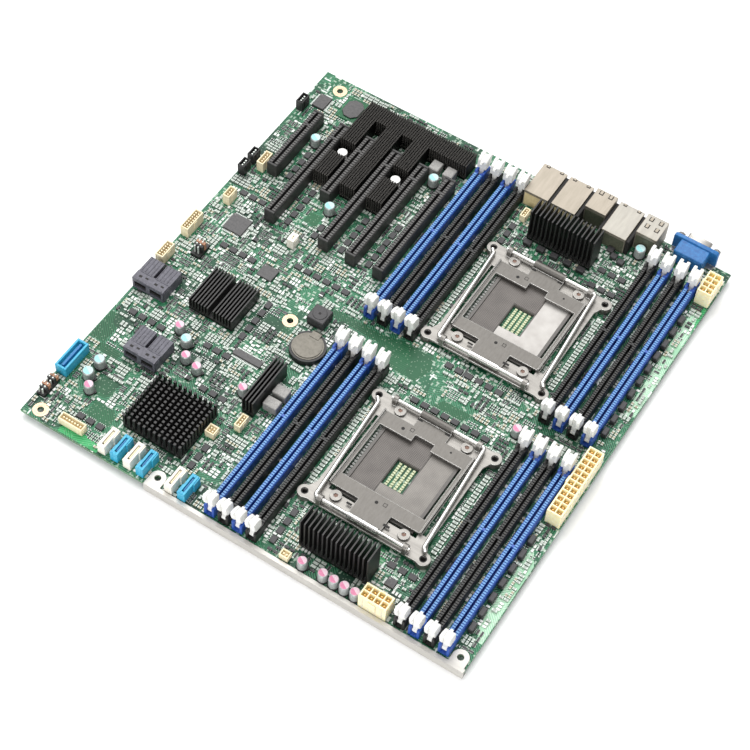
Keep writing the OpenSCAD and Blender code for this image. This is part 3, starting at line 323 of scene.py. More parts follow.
def solder_mask(name, dark, light, copper, print_share):
    """Solder mask over copper, with pads, holes and print. A print share of 0 leaves it clean."""
    finish, tree, shader = new_finish(name, 0.42)
    shader["Specular IOR Level"].default_value = 0.3
    link = tree.links.new

    def times(*values):
        return maths(tree, "MULTIPLY", *values)

    place = add(tree, "TexCoord").outputs["Object"]
    axes = add(tree, "SeparateXYZ")
    link(place, axes.inputs["Vector"])
    drift = add(tree, "TexNoise", Scale=1 / DRIFT, Detail=3.0)
    link(place, drift.inputs["Vector"])
    base = tones(tree, drift.outputs["Fac"], (0.35, dark), (0.65, light))
    patch = add(tree, "TexVoronoi", voronoi_dimensions="2D", Scale=1 / PATCH)
    link(place, patch.inputs["Vector"])
    draw = add(tree, "SeparateColor")
    link(patch.outputs["Color"], draw.inputs["Color"])
    turn = times(maths(tree, "FLOOR", times(draw.outputs["Red"], 4)), math.pi / 4)
    along_trace = maths(tree, "ADD", times(axes.outputs["X"], maths(tree, "COSINE", turn)),
                        times(axes.outputs["Y"], maths(tree, "SINE", turn)))
    stripe = maths(tree, "LESS_THAN", maths(tree, "FRACT", maths(tree, "DIVIDE", along_trace, TRACE)), 0.5)
    traced = times(stripe, maths(tree, "LESS_THAN", draw.outputs["Green"], 0.7))
    under = maths(tree, "LESS_THAN", axes.outputs["Z"], board_low.z + SKIN)
    poured = maths(tree, "MAXIMUM", traced, times(under, 0.45))
    colour = blend(tree, times(poured, 0.8), base, copper)
    holes = marks(tree, place, 2.4, 0.13, metric="EUCLIDEAN", keep=0.7)
    colour = blend(tree, times(holes, 0.6), colour, (150, 172, 150))
    upper = maths(tree, "GREATER_THAN", axes.outputs["Z"], board_high.z - SKIN)
    busy = times(maths(tree, "GREATER_THAN", drift.outputs["Fac"], 0.42), print_share)
    busy = times(busy, upper)
    for size, share, stretch, tone in PRINT:
        spots = marks(tree, place, size, share, stretch, 0.6)
        colour = blend(tree, times(spots, busy), colour, tone)
    cut_edge = maths(tree, "SUBTRACT", 1.0, maths(tree, "ADD", upper, under))
    colour = blend(tree, times(cut_edge, 0.5), colour, (120, 138, 104))
    link(colour, shader["Base Color"])
    raised = add(tree, "Bump", Strength=0.3, Distance=0.05 * MM)
    link(traced, raised.inputs["Height"])
    link(raised.outputs["Normal"], shader["Normal"])
    return finish


board_mask = solder_mask("board_mask", (10, 56, 38), (32, 98, 66), (66, 140, 102), 0.8)
fresh_mask = solder_mask("fresh_mask", (30, 134, 74), (58, 166, 98), (84, 184, 120), 0.0)
mint_mask = solder_mask("mint_mask", (140, 192, 156), (176, 216, 184), (198, 228, 204), 0.6)
leaf_mask = solder_mask("leaf_mask", (20, 92, 52), (40, 128, 74), (58, 144, 90), 0.4)
plain_mask = solder_mask("plain_mask", (12, 66, 40), (24, 88, 54), (34, 102, 64), 0.0)
floor.data.materials.append(grained("sweep", (250, 250, 250), (253, 253, 253), 60, 0.9, bump=0.0))
print("finishes with masks:", len(bpy.data.materials))

# %% [markdown]
# The moulded parts are drawn in millimetres as blocks, extruded outlines and round bars. Each of these
# helpers adds one such form to a bmesh and gives its faces a material by number.

# %% Drawing helpers


def paint(made, material):
    """Gives the faces round some new vertices a material, and returns those faces."""
    faces = list(dict.fromkeys(face for vert in made for face in vert.link_faces))
    for face in faces:
        face.material_index = material
    return faces


def soften(bm, made, width):
    """Bevels every edge of a new shape by a width."""
    edges = list(dict.fromkeys(edge for vert in made for edge in vert.link_edges))
    bmesh.ops.bevel(
        bm, geom=edges, offset=width, offset_type="OFFSET", segments=1, profile=0.5,
        affect="EDGES", clamp_overlap=True, material=-1)


def along(axis, first, second, depth):
    """A point given across an axis, in the order of the other two axes, and along it."""
    return {"X": (depth, first, second), "Y": (first, depth, second), "Z": (first, second, depth)}[axis]


def block(bm, low, high, bevel=0.0, material=0):
    """A box between two corners in millimetres."""
    low, high = Vector(low), Vector(high)
    place = Matrix.Translation((low + high) / 2) @ Matrix.Diagonal((*(high - low), 1))
    made = bmesh.ops.create_cube(bm, size=1, matrix=place)["verts"]
    paint(made, material)
    if bevel:
        soften(bm, made, bevel)


def prism(bm, outline, low, high, axis="Y", bevel=0.0, material=0):
    """A closed outline drawn out along an axis."""
    near = [bm.verts.new(along(axis, first, second, low)) for first, second in outline]
    face = bm.faces.new(near)
    grown = bmesh.ops.extrude_face_region(bm, geom=[face])["geom"]
    far = [item for item in grown if isinstance(item, bmesh.types.BMVert)]
    bmesh.ops.translate(bm, verts=far, vec=along(axis, 0, 0, high - low))
    bmesh.ops.recalc_face_normals(bm, faces=paint(near + far, material))
    if bevel:
        soften(bm, near + far, bevel)


def rod(bm, centre, radius, low, high, axis="Z", steps=16, material=0, tip=None):
    """A round bar along an axis through a centre, tapered if it has a tip radius."""
    place = Matrix.Translation(along(axis, *centre, (low + high) / 2))
    angle, about = {"X": (90, "Y"), "Y": (-90, "X"), "Z": (0, "Z")}[axis]
    made = bmesh.ops.create_cone(
        bm, cap_ends=True, segments=steps, radius1=radius, radius2=radius if tip is None else tip,
        depth=high - low, matrix=place @ Matrix.Rotation(math.radians(angle), 4, about))["verts"]
    paint(made, material)


def ring(bm, centre, inner, outer, low, high, steps=24, material=0):
    """A flat ring about an upright axis, spun from its cross-section."""
    x, y = centre
    corners = [(inner, low), (outer, low), (outer, high), (inner, high)]
    verts = [bm.verts.new((x + radius, y, height)) for radius, height in corners]
    edges = [bm.edges.new((verts[i], verts[i - 1])) for i in range(4)]
    before = set(bm.verts)
    bmesh.ops.spin(
        bm, geom=verts + edges, cent=(x, y, 0), axis=(0, 0, 1), dvec=(0, 0, 0), angle=2 * math.pi,
        steps=steps, use_merge=True, use_normal_flip=False, use_duplicate=False)
    made = verts + [vert for vert in bm.verts if vert not in before]
    bmesh.ops.recalc_face_normals(bm, faces=paint([vert for vert in made if vert.is_valid], material))


def walls(bm, wide, deep, low, high, thick, end_thick, bevel):
    """The four walls of an open box whose front left corner is at the origin."""
    for near, far in (
            ((0, 0), (thick, deep)), ((wide - thick, 0), (wide, deep)),
            ((thick, 0), (wide - thick, end_thick)), ((thick, deep - end_thick), (wide - thick, deep))):
        block(bm, (*near, low), (*far, high), bevel)


print("drawing helpers ready")

# %% [markdown]
# A shape that repeats is drawn once and then stamped onto the board, in a row or a grid if need be.
# A finished piece gets its finishes, is tied to the body that carries it and may stand for solids.

# %% Placing helpers
SMOOTH_BELOW = 30


def shape(build, *facts):
    """A mesh in millimetres made by a building function."""
    bm = bmesh.new()
    build(bm, *facts)
    mesh = bpy.data.meshes.new(build.__name__)
    bm.to_mesh(mesh)
    bm.free()
    return mesh


def stamp(bm, mesh, x, y, z=0.0, turn=0.0, mirror=False):
    """Adds a shape at a place on the board, turned about the upright axis, or mirrored front to back."""
    copy = mesh.copy()
    copy.transform(
        Matrix.Translation(spot(x, y, z)) @ Matrix.Rotation(math.radians(turn), 4, "Z")
        @ Matrix.Diagonal((MM, -MM if mirror else MM, MM, 1)))
    if mirror:
        copy.flip_normals()
    bm.from_mesh(copy)
    bpy.data.meshes.remove(copy)


def grid(mesh, x, y, columns, rows, step_x, step_y, turn=0):
    """Stamps of one shape in columns and rows from a first place."""
    return [(mesh, x + step_x * i, y + step_y * j, 0, turn) for i in range(columns) for j in range(rows)]


def piece(name, copies, finishes, body="board", stands_for=()):
    """A finished piece made of stamped copies, each a shape, its x and y and whatever else a stamp
    takes. It rides on a body and may stand for solids."""
    bm = bmesh.new()
    for copy in copies:
        stamp(bm, *copy)
    mesh = bpy.data.meshes.new(name)
    bm.to_mesh(mesh)
    bm.free()
    for finish in finishes:
        mesh.materials.append(finish)
    mesh.shade_smooth()
    mesh.set_sharp_from_angle(angle=math.radians(SMOOTH_BELOW))
    made = bpy.data.objects.new(name, mesh)
    scene.collection.objects.link(made)
    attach(made, body)
    if stands_for:
        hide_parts(*stands_for)
    print(name, len(mesh.polygons), "faces")


def wear(finish, *names):
    """Gives solids of the frame a finish."""
    for name in names:
        materials = nodes[name].data.materials
        materials.clear()
        materials.append(finish)


print("placing helpers ready")

# %% [markdown]
# Many solids already have the right shape and only need their finish: the board, the sheet metal
# of the sockets, the heatsinks, the metal cans at the rear and the moulded connectors.

# %% Finishes for the solids
SOCKETS = ("front", "rear")
wear(board_mask, "circuit_board")
wear(strip_steel, "front_stiffener")
wear(frame_steel, "socket_frames", "socket_backplates", "socket_screws")
wear(plated_steel, *(f"load_plate_{name}" for name in SOCKETS))
wear(lever_steel, *(f"lever_{name}_socket_{end}" for name in SOCKETS for end in SOCKETS))
wear(fin_black, "chipset_heatsink", "controller_heatsink", "regulator_heatsinks")
wear(comb_black, "slot_heatsink")
wear(latch_white, "heatsink_push_pins")
wear(port_nickel, "rear_ports")
wear(ivory_nylon, "power_connectors")
wear(storage_grey, "storage_connectors")
wear(socket_grey, "cpu_sockets")
wear(black_plastic, "battery_holder")
wear(cell_nickel, "coin_cell")
print("solids with a finish:", sum(bool(node.data.materials) for node in nodes.values()))

# %% [markdown]
# A memory slot is two rails with a groove between them. The rails are cut into teeth, one to each
# contact, and a tower with two cheeks at each end holds the latch. Blue and dark slots alternate.

# %% Memory slots
SLOT_LEN, TOWER, TEETH_PITCH = 142.0, 8.8, 1.7
RAIL_TOP, RAIL_INSET = 8.4, 8.0
KEY_Y = 74.7
BANKS = {"front_left": (133.4, 3.0, 0), "front_right": (260.8, 3.0, 1),
         "rear_left": (133.4, 171.5, 0), "rear_right": (260.8, 165.0, 1)}
BANK_STEP, BANK_SLOTS = 9.6, 4


def memory_slot(bm):
    rails = [(-3.2, 0), (3.2, 0), (3.2, 7.9), (2.8, RAIL_TOP), (0.8, RAIL_TOP), (0.8, 3),
             (-0.8, 3), (-0.8, RAIL_TOP), (-2.8, RAIL_TOP), (-3.2, 7.9)]
    prism(bm, rails, RAIL_INSET, SLOT_LEN - RAIL_INSET)
    block(bm, (-0.8, KEY_Y, 3), (0.8, KEY_Y + 1.8, 8.8))
    for end in (0, SLOT_LEN - TOWER):
        block(bm, (-1.8, end, 0), (1.8, end + TOWER, 1.3))
        for side in (-3.6, 1.8):
            block(bm, (side, end, 0), (side + 1.8, end + TOWER, 9), 0.35)
    for k in range(int((SLOT_LEN - 2 * TOWER - 2) / TEETH_PITCH)):
        y = TOWER + 1 + k * TEETH_PITCH
        for side in (-2.7, 0.8):
            block(bm, (side, y, RAIL_TOP), (side + 1.9, y + 1.05, 9.0), material=1)


slot_mesh = shape(memory_slot)
for colour, parity, *finishes in (("blue", 0, blue_nylon, blue_teeth), ("dark", 1, dark_nylon, dark_teeth)):
    stamps = [(slot_mesh, x + k * BANK_STEP, y) for x, y, shift in BANKS.values()
              for k in range(BANK_SLOTS) if (k + shift) % 2 == parity]
    piece(f"memory_slots_{colour}", stamps, finishes, stands_for=["memory_slots"])

# %% [markdown]
# Each latch turns about a small axle near the foot of its tower. Its head is a grip with two wings
# and a hollow between them, a hook that drops into the notch of a module, and a toe that lifts it.

# %% Memory latches
PIVOT_IN, PIVOT_H = 3.8, 4.2
WING_IN, WING_OUT = 1.2, 3.3


def latch(bm):
    head = [(-2.8, 6.6), (2.6, 6.6), (3.6, 8.4), (5.0, 15.6),
            (4.4, 16.3), (1.6, 16.3), (-2.6, 13.9), (-2.8, 13.2)]
    hollow = [(-2.6, 6.4), (2.0, 6.4), (3.2, 15.2), (1.3, 15.4), (-2.6, 13.4)]
    prism(bm, hollow, -1.4, 1.4, "X")
    for side, low, high in ((-1, -WING_OUT, -WING_IN), (1, WING_IN, WING_OUT)):
        prism(bm, head, low, high, "X", 0.3)
        for height in (9.6, 11.6, 13.6):
            y = 3.6 + (height - 8.4) * 0.194
            block(bm, (side * 2.2 - 0.8, y, height), (side * 2.2 + 0.8, y + 0.35, height + 0.8))
    prism(bm, [(-2, 0), (2, 0), (2.2, 7.4), (-2.2, 7.4)], -1.6, 1.6, "X", 0.2)
    prism(bm, [(-3.2, -1.4), (-3.2, -2), (0, -2.4), (0, 0.2)], -1.6, 1.6, "X")
    prism(bm, [(-4.6, 12), (-2.6, 11), (-2.3, 13.3), (-3.8, 13.3)], -0.8, 0.8, "X")
    rod(bm, (0, 0), 2.6, -1.6, 1.6, "X")
    rod(bm, (0, 0), 1.1, -WING_OUT, WING_OUT, "X", 12)


latch_mesh = shape(latch)
for bank, (x, y, _) in BANKS.items():
    for k in range(BANK_SLOTS):
        for end, in_y in (("front", PIVOT_IN), ("rear", SLOT_LEN - PIVOT_IN)):
            node = f"latch_{bank}_{k + 1}_{end}"
            stamps = [(latch_mesh, x + k * BANK_STEP, y + in_y, PIVOT_H, 0, end == "front")]
            piece(node + "_moulding", stamps, [latch_white], node, [node])

# %% [markdown]
# The expansion slots stand with their rear ends in line. Like the memory slots they are toothed
# rails round a groove with a key in it, but with a closed wall at each end.

# %% Expansion slots
CARD_STEP, CARD_REAR = 20.32, 288.5
CARD_SLOTS = (56, 89, 56, 89, 89, 89)
CARD_TOP, CARD_TEETH = 10.6, 2.0


def card_slot(bm, length):
    rails = [(-3.75, 0), (3.75, 0), (3.75, 10.0), (3.3, CARD_TOP), (0.95, CARD_TOP), (0.95, 3.7),
             (-0.95, 3.7), (-0.95, CARD_TOP), (-3.3, CARD_TOP), (-3.75, 10.0)]
    prism(bm, rails, -length + 1.4, -1.4)
    block(bm, (-0.95, -15.1, 3.7), (0.95, -13.3, 11))
    for end in (-length, -1.6):
        block(bm, (-3.75, end, 0), (3.75, end + 1.6, 11.2), 0.3)
    for k in range(int((length - 4) / CARD_TEETH)):
        y = -length + 2.2 + CARD_TEETH * k
        for side in (-3.1, 0.95):
            block(bm, (side, y, CARD_TOP), (side + 2.15, y + 1.3, 11.1), material=1)


piece("expansion_slot_mouldings",
      [(shape(card_slot, length), CARD_STEP * (k + 1), CARD_REAR) for k, length in enumerate(CARD_SLOTS)],
      [slot_grey, slot_teeth], stands_for=["expansion_slots"])

# %% [markdown]
# Two L-shaped fields of contacts fill each processor socket round an open core, where the board
# shows with rows of small capacitors. Each contact is a fleck in the finish, one to a millimetre.

# %% Processor sockets
SOCKET_X, SOCKET_YS = 210.9, (85.0, 220.3)
CONTACT_PITCH, CONTACT_SHADE = 1.0, 9.0


def contact_field(name, dark, light, gloss):
    """A moulded field with a grid of metal contacts."""
    finish, tree, shader = new_finish(name, gloss, 0.25)
    place = add(tree, "TexCoord").outputs["Object"]
    flecks = marks(tree, place, CONTACT_PITCH, 0.3, keep=2.0, disorder=0.0)
    shade = add(tree, "TexNoise", Scale=1 / (CONTACT_SHADE * MM), Detail=2.0)
    tree.links.new(place, shade.inputs["Vector"])
    base = tones(tree, shade.outputs["Fac"], (0.3, dark), (0.7, light))
    colour = blend(tree, maths(tree, "MULTIPLY", flecks, 0.25), base, (170, 164, 155))
    tree.links.new(colour, shader["Base Color"])
    return finish


# Both L-shaped fields of a socket are one moulding: one is painted in shade and the other lit, and the lit
# field of the rear socket is lighter still, a painted reflection.
shaded_field = contact_field("shaded_field", (72, 67, 65), (86, 81, 78), 0.5)
lit_field = contact_field("lit_field", (106, 102, 98), (122, 118, 113), 0.5)
reflection_lit_field = contact_field("reflection_lit_field", (162, 158, 154), (182, 179, 175), 0.45)
core_cap = grained("core_cap", (176, 184, 142), (214, 220, 186), 0.8, 0.5)


def contact_fields(bm):
    left = [(-23.9, -26.9), (-7.6, -26.9), (-7.6, 10.2), (7.6, 10.2), (7.6, 26.9), (-23.9, 26.9)]
    right = [(23.9, 26.9), (8.2, 26.9), (8.2, -10.2), (-7, -10.2), (-7, -26.9), (23.9, -26.9)]
    prism(bm, left, 2.8, 3.2, "Z", material=0)
    prism(bm, right, 2.8, 3.3, "Z", material=1)
    for column in range(4):
        for row in range(10):
            x, y = -5.6 + 3.1 * column, -8.6 + 1.8 * row
            block(bm, (x, y, 0), (x + 1.7, y + 1.3, 1.0), material=2)


for name, y, lit in zip(SOCKETS, SOCKET_YS, (lit_field, reflection_lit_field)):
    stamps = [(shape(contact_fields), SOCKET_X, y)]
    piece(f"contacts_{name}", stamps, [shaded_field, lit, core_cap])

# %% [markdown]
# The clamp over a processor is pressed from sheet. Small holes pierce the plate, bronze-coloured
# screws sit in the frame, and the corner posts are threaded for a cooler. The holes, the openings in
# the plate and the outlines of its pressed marks are thin dark discs and strips of painted shade; each
# post has painted shade down its hole and a ring of painted shadow round it.

# %% Socket hardware
POST_TOP, PLATE_TOP = 4.9, 6.7
SCREW_X, SCREW_YS = 23, (-33.4, 36.6)
POST_AT = 40
# This finish paints shade: its dark discs, strips and blocks stand for the shade in holes, mouths and gaps.
hole_shade = grained("hole_shade", (16, 15, 15), (34, 31, 30), 0.8, 0.7)
screw_bronze = grained("screw_bronze", (96, 72, 62), (128, 98, 84), 0.6, 0.5, 0.3)


def plate_holes(bm):
    for x, y, radius in ((-15, 26.6, 1.1), (-1, -24.5, 1.1), (17, 28, 0.7)):
        rod(bm, (x, y), radius, PLATE_TOP, PLATE_TOP + 0.04, steps=12)
    for x, y in ((-9.8, 28.6), (4.2, -23.4)):
        for side in (-1.2, 0.9):
            block(bm, (x + side, y - 1.2, PLATE_TOP), (x + side + 0.3, y + 1.2, PLATE_TOP + 0.03))
            block(bm, (x - 1.2, y + side, PLATE_TOP), (x + 1.2, y + side + 0.3, PLATE_TOP + 0.03))
    for x, y, wide, deep in (
            (-9.6, 37.2, 3.4, 1.2), (9.0, 37.4, 3.4, 1.2), (-13.5, -34.0, 3.6, 1.4), (12, -34.6, 4.2, 1.6)):
        block(bm, (x - wide / 2, y - deep / 2, PLATE_TOP), (x + wide / 2, y + deep / 2, PLATE_TOP + 0.04))


def frame_fittings(bm):
    for x in (-SCREW_X, SCREW_X):
        for y in SCREW_YS:
            rod(bm, (x, y), 1.5, 5.7, 6.0, steps=12)
    for x in (-POST_AT, POST_AT):
        for y in (-POST_AT, POST_AT):
            rod(bm, (x, y), 2.0, 0.02, 1.5, steps=12, material=1)
            ring(bm, (x, y), 1.65, 2.3, POST_TOP, POST_TOP + 0.03, 16, 1)


for name, y in zip(SOCKETS, SOCKET_YS):
    piece(f"frame_fittings_{name}", [(shape(frame_fittings), SOCKET_X, y)], [screw_bronze, hole_shade])
    piece(f"plate_holes_{name}", [(shape(plate_holes), SOCKET_X, y)], [hole_shade],
          f"load_plate_{name}")

# %% [markdown]
# At the rear the metal cans get what a hand would notice: spring tabs along their top rear edges, seams
# and gold contacts. The dark sheets inside the mouths are partly dark plastic and partly painted shade,
# and the dark blocks between the cans and the dark slits under the tabs are painted shade.

# %% Rear port details
JACKS, JACK_FRONT, JACK_TOP = (166.2, 185.8, 222.6), 305.5, 13.6
USBS, USB_FRONT, USB_TOP = (205.4, 242.2), 314.4, 15.6
PORT_GAPS, GAP_FRONT = (183.3, 202.9, 220.1, 239.7), 306
# The olive insert is the cream insert in painted shade, on the faces of the third jack and of the USB ports.
yellow_insert = grained("yellow_insert", (206, 188, 140), (228, 212, 168), 1.4, 0.5)
shaded_insert = grained("shaded_insert", (66, 70, 56), (96, 98, 80), 1.2, 0.55)


def jack_detail(bm, front):
    block(bm, (0.6, -0.12, 0.6), (16.4, 0, 11.4), material=front)
    block(bm, (2.6, 12.6, 2.5), (14.4, 12.9, 11.7), material=0)
    for k in range(8):
        block(bm, (4.2 + 1.15 * k, 14, 10.6), (4.7 + 1.15 * k, 24, 11), material=1)
    for x in (2.2, 12.2):
        block(bm, (x, 24.4, JACK_TOP), (x + 2.6, 26.3, JACK_TOP + 0.06), material=0)
        block(bm, (x + 0.4, 24.8, JACK_TOP + 0.06), (x + 2.2, 26.6, JACK_TOP + 0.5), 0.15, material=3)
    for x in (-0.3, 17):
        block(bm, (x, 19, 4), (x + 0.3, 23, 9), 0.1, material=3)


def usb_detail(bm, tabs):
    block(bm, (0.6, -0.12, 0.6), (14, 0, 13), material=4)
    for level in (3.9, 11.7):
        block(bm, (1.2, 6.7, level - 2.5), (13.4, 7.0, level + 2.5), material=0)
        for k in range(4):
            block(bm, (3.4 + 2.1 * k, 8, level - 0.12), (4.4 + 2.1 * k, 15.6, level), material=1)
    for x in (2.4, 9.2):
        for y in tabs:
            block(bm, (x, y, USB_TOP), (x + 3, y + 3.6, USB_TOP + 0.04), material=0)
            block(bm, (x + 0.5, y + 0.4, USB_TOP + 0.04), (x + 2.5, y + 3.6, USB_TOP + 0.4), 0.15, material=3)


gap_shadow = shape(block, (0, 0, 0), (2.4, 24.6, 12.4), 0.3)
stamps = [(shape(jack_detail, front), x, JACK_FRONT) for x, front in zip(JACKS, (2, 2, 4))]
stamps += [(shape(usb_detail, tabs), x, USB_FRONT) for x, tabs in zip(USBS, ((13.4,), (6, 12.4)))]
stamps += [(gap_shadow, x, GAP_FRONT) for x in PORT_GAPS]
piece("port_details", stamps, [hole_shade, gold, yellow_insert, port_nickel, shaded_insert])
# The paler lids on the third jack and the second USB port are the same nickel with a painted highlight.
jack_lid = shape(block, (0.2, 0.2, JACK_TOP - 0.02), (16.8, 26.2, JACK_TOP + 0.02))
usb_lid = shape(block, (0.2, 0.2, USB_TOP - 0.02), (14.4, 17.3, USB_TOP + 0.02))
piece("lit_port_lids", [(jack_lid, JACKS[2], JACK_FRONT), (usb_lid, USBS[1], USB_FRONT)], [lit_nickel])

# %% [markdown]
# The video port is one blue moulding behind a flange, with a plated shell, fifteen pin holes in three
# rows and a hexagonal nut at each side. It is modelled whole and stands for its solid.

# %% Video port
VIDEO_AT = (278.1, 329)
NUT_X, NUT_H = 12.5, 6.3


def video_port(bm):
    flange = [(-15.5, 0), (15.5, 0), (15.5, 11.4), (14.3, 12.6), (-14.3, 12.6), (-15.5, 11.4)]
    prism(bm, flange, 0, 3, "Y", 0.4)
    block(bm, (-10.2, -11, 0), (10.2, 1, 11.4), 0.6)
    block(bm, (-8.6, -11.4, 3.4), (8.6, -10.6, 10.2), 0.3)
    shell = [(-7.2, 2.1), (7.2, 2.1), (8.2, 9.6), (7.4, 10.5), (-7.4, 10.5), (-8.2, 9.6)]
    prism(bm, shell, 2.6, 8.8, "Y", 0.3, 1)
    face = [(-6.6, 2.8), (6.6, 2.8), (7.4, 9.6), (-7.4, 9.6)]
    prism(bm, face, 8.8, 8.84, "Y", material=0)
    # The pin holes and the holes in the nuts are dark discs of painted shade.
    for row in range(3):
        for k in range(5):
            rod(bm, (-4.6 + 2.3 * k + 0.5 * (row == 1), 4.4 + 1.9 * row), 0.45, 8.8, 8.88, "Y", 8, 2)
    for side in (-NUT_X, NUT_X):
        rod(bm, (side, NUT_H), 2.6, 2, 7.6, "Y", 6, 1)
        rod(bm, (side, NUT_H), 1.2, 7.6, 7.64, "Y", 10, 2)
        block(bm, (side - 2.6, -4, 0), (side + 2.6, 0.4, 1.2), 0.2, 1)


piece("video_port_mouldings", [(shape(video_port), *VIDEO_AT)], [video_blue, bright_steel, hole_shade],
      stands_for=["video_port"])

# %% [markdown]
# Each cell of a power connector holds one square pin on an amber floor. A ramp on one long side
# is where the clip of the plug catches, and low ribs run down the outside. Light passes a little way
# into this nylon, so its finish scatters light under the surface.

# %% Power connector details
CELL, CELL_WALL = 4.2, 0.6
CELL_FLOOR, PIN_TOP = 9.2, 11.6
POWER_CONNECTORS = ((12, 294.6, 107.5, 0), (4, 294.6, 297.5, 0), (4, 252.8, 2, 90))
amber = grained("amber", (252, 200, 116), (255, 222, 154), 0.9, 0.5)
for nylon in (ivory_nylon, amber):
    shader = main_shader(nylon)
    shader["Subsurface Weight"].default_value = 0.5
    shader["Subsurface Radius"].default_value = (1.0, 0.8, 0.4)
    shader["Subsurface Scale"].default_value = 2 * MM


def power_cells(bm, count):
    middles = [CELL_WALL + CELL * (k + 0.5) for k in range(count)]
    for x in middles[:2]:
        for y in middles:
            block(bm, (x - 1.7, y - 1.7, 2.2), (x + 1.7, y + 1.7, CELL_FLOOR), material=0)
            block(bm, (x - 0.5, y - 0.5, CELL_FLOOR), (x + 0.5, y + 0.5, PIN_TOP), 0.15, material=1)
    centre = CELL_WALL + CELL * count / 2
    ramp = [(-0.9, 6.4), (0, 4.6), (0, 11.4), (-0.9, 11.4)]
    prism(bm, ramp, centre - 2.4, centre + 2.4, "Y", material=2)
    for y in middles:
        for x in (-0.22, 9.6):
            block(bm, (x, y - 0.5, 1.2), (x + 0.22, y + 0.5, 11.8), material=2)


stamps = [(shape(power_cells, count), x, y, 0, turn) for count, x, y, turn in POWER_CONNECTORS]
piece("power_cells", stamps, [amber, gold, ivory_nylon])

# %% [markdown]
# The storage connectors are low moulded shells with ribs, windows and a blade in each mouth.

# %% Storage connector details
STORAGE_AT = ((0.3, 110), (27, 65))
STORAGE_STEP, STORAGE_TOP = 11.5, 9.6


def storage_detail(bm):
    # The dark blocks paint shade: the floor of each mouth, the windows on top and the gap between the two
    # shells.
    for x in (0, STORAGE_STEP):
        block(bm, (x + 1.4, 0.4, 3.2), (x + 10.1, 9, 4.4), material=1)
        block(bm, (x + 3, 2.6, STORAGE_TOP), (x + 5.2, 4.2, STORAGE_TOP + 0.03), material=1)
        block(bm, (x + 7.4, 3.4, STORAGE_TOP), (x + 9.6, 4.6, STORAGE_TOP + 0.03), material=1)
        block(bm, (x + 1.2, 6.6, STORAGE_TOP), (x + 10.4, 7.3, STORAGE_TOP + 0.3), 0.12)
        block(bm, (x + 1.2, 0, STORAGE_TOP), (x + 10.4, 0.9, STORAGE_TOP + 0.4), 0.12)
        for rib in range(4):
            block(bm, (x + 1.2 + 2.4 * rib, 7.4, 8.8), (x + 1.7 + 2.4 * rib, 19.6, 9.1), 0.08)
    for x in (-0.35, 2 * STORAGE_STEP):
        block(bm, (x, 1, 0), (x + 0.35, 6, 8.6), 0.1)
    block(bm, (10.5, 7.0, 2.3), (12.5, 20, 2.5), material=1)


piece("storage_details", [(shape(storage_detail), x, y) for x, y in STORAGE_AT], [storage_grey, hole_shade])

# %% [markdown]
# The cable headers differ in colour and in height. Most are open boxes with rows of pins. The upright
# drive ports have one thin blade instead, and some pairs of bare pins wear black or tan jumper caps.

# %% Cable headers
PIN_STEP, JUMPER_STEP = 2.0, 2.5
DRIVE_PORTS, DRIVE_Y = (56, 65.1, 74.2, 83.3, 103.5, 112.6), 2
WIDE_HEADER_AT = (0.5, 33)
JUMPERS = ((1, 14, 6, 15, 7), (15, 150, 7, 12, 9))
HEADERS = (
    ("cream", 24.5, 5, 17, 5.4, 6), ("cream", 181.6, 2.6, 6, 5, 4.4),
    ("cream", 0.4, 133.5, 5.8, 13, 8.6), ("cream", 0.4, 160, 5.8, 17, 8.6),
    ("cream", 7.5, 196, 5, 9, 8.6), ("black", 1, 222, 5, 8, 8.6), ("black", 1, 233, 5, 8, 8.6),
    ("cream", 9.6, 231, 5, 11.5, 8.6), ("black", 1, 289.5, 5, 9, 8.6),
    ("cream", 112, 58.5, 4.4, 9.6, 6.4), ("cream", 100, 46, 6.4, 6.4, 5.4),
    ("cream", 171.6, 291.5, 4, 8, 6), ("white", 61, 189.5, 5, 7, 8, 2.1))
jumper_tan = grained("jumper_tan", (150, 104, 78), (190, 142, 112), 1.0, 0.5)
# The deep blue of the tongues and blades inside the cyan connectors is the same blue in painted shade.
HEADER_FINISHES = {
    "cyan": (cyan_nylon, shaded_blue), "white": (white_nylon, cream_nylon),
    "cream": (cream_nylon, pale_gold), "black": (black_plastic, solder, jumper_tan)}


def drive_port(bm):
    block(bm, (0, 0, 0), (4.6, 15, 3.4), 0.2)
    walls(bm, 4.6, 15, 3.2, 8.6, 1.5, 1.9, 0.15)
    block(bm, (1.9, 2.2, 3.2), (2.6, 12.4, 7.8), material=1)
    block(bm, (1.9, 2.2, 3.2), (3.1, 3, 7.8), material=1)
    block(bm, (-0.7, 0, 0), (0.2, 6.2, 8.0), 0.15)
    block(bm, (4.4, 8.8, 0), (5.3, 15, 8.0), 0.15)


def wide_header(bm):
    block(bm, (0, 0, 0), (8, 23, 4.6), 0.25)
    walls(bm, 8, 23, 4.4, 8, 1.4, 1.4, 0.2)
    block(bm, (3.2, 2.4, 4.6), (4.8, 20.6, 7.4), 0.15, 1)


def pin_header(bm, wide, deep, high, wall=0.8):
    block(bm, (0, 0, 0), (wide, deep, 2.2), 0.2)
    walls(bm, wide, deep, 2, high, wall, wall, 0.12)
    columns, rows = (max(1, int((size - 2 * wall) / PIN_STEP)) for size in (wide, deep))
    for i in range(columns):
        for j in range(rows):
            x = wide / 2 + (i - (columns - 1) / 2) * PIN_STEP
            y = deep / 2 + (j - (rows - 1) / 2) * PIN_STEP
            block(bm, (x - 0.45, y - 0.45, 2.2), (x + 0.45, y + 0.45, high - 0.6), material=1)
    block(bm, (wide, deep / 2 - 1.6, 2.4), (wide + 0.4, deep / 2 + 1.6, high - 1), 0.1)


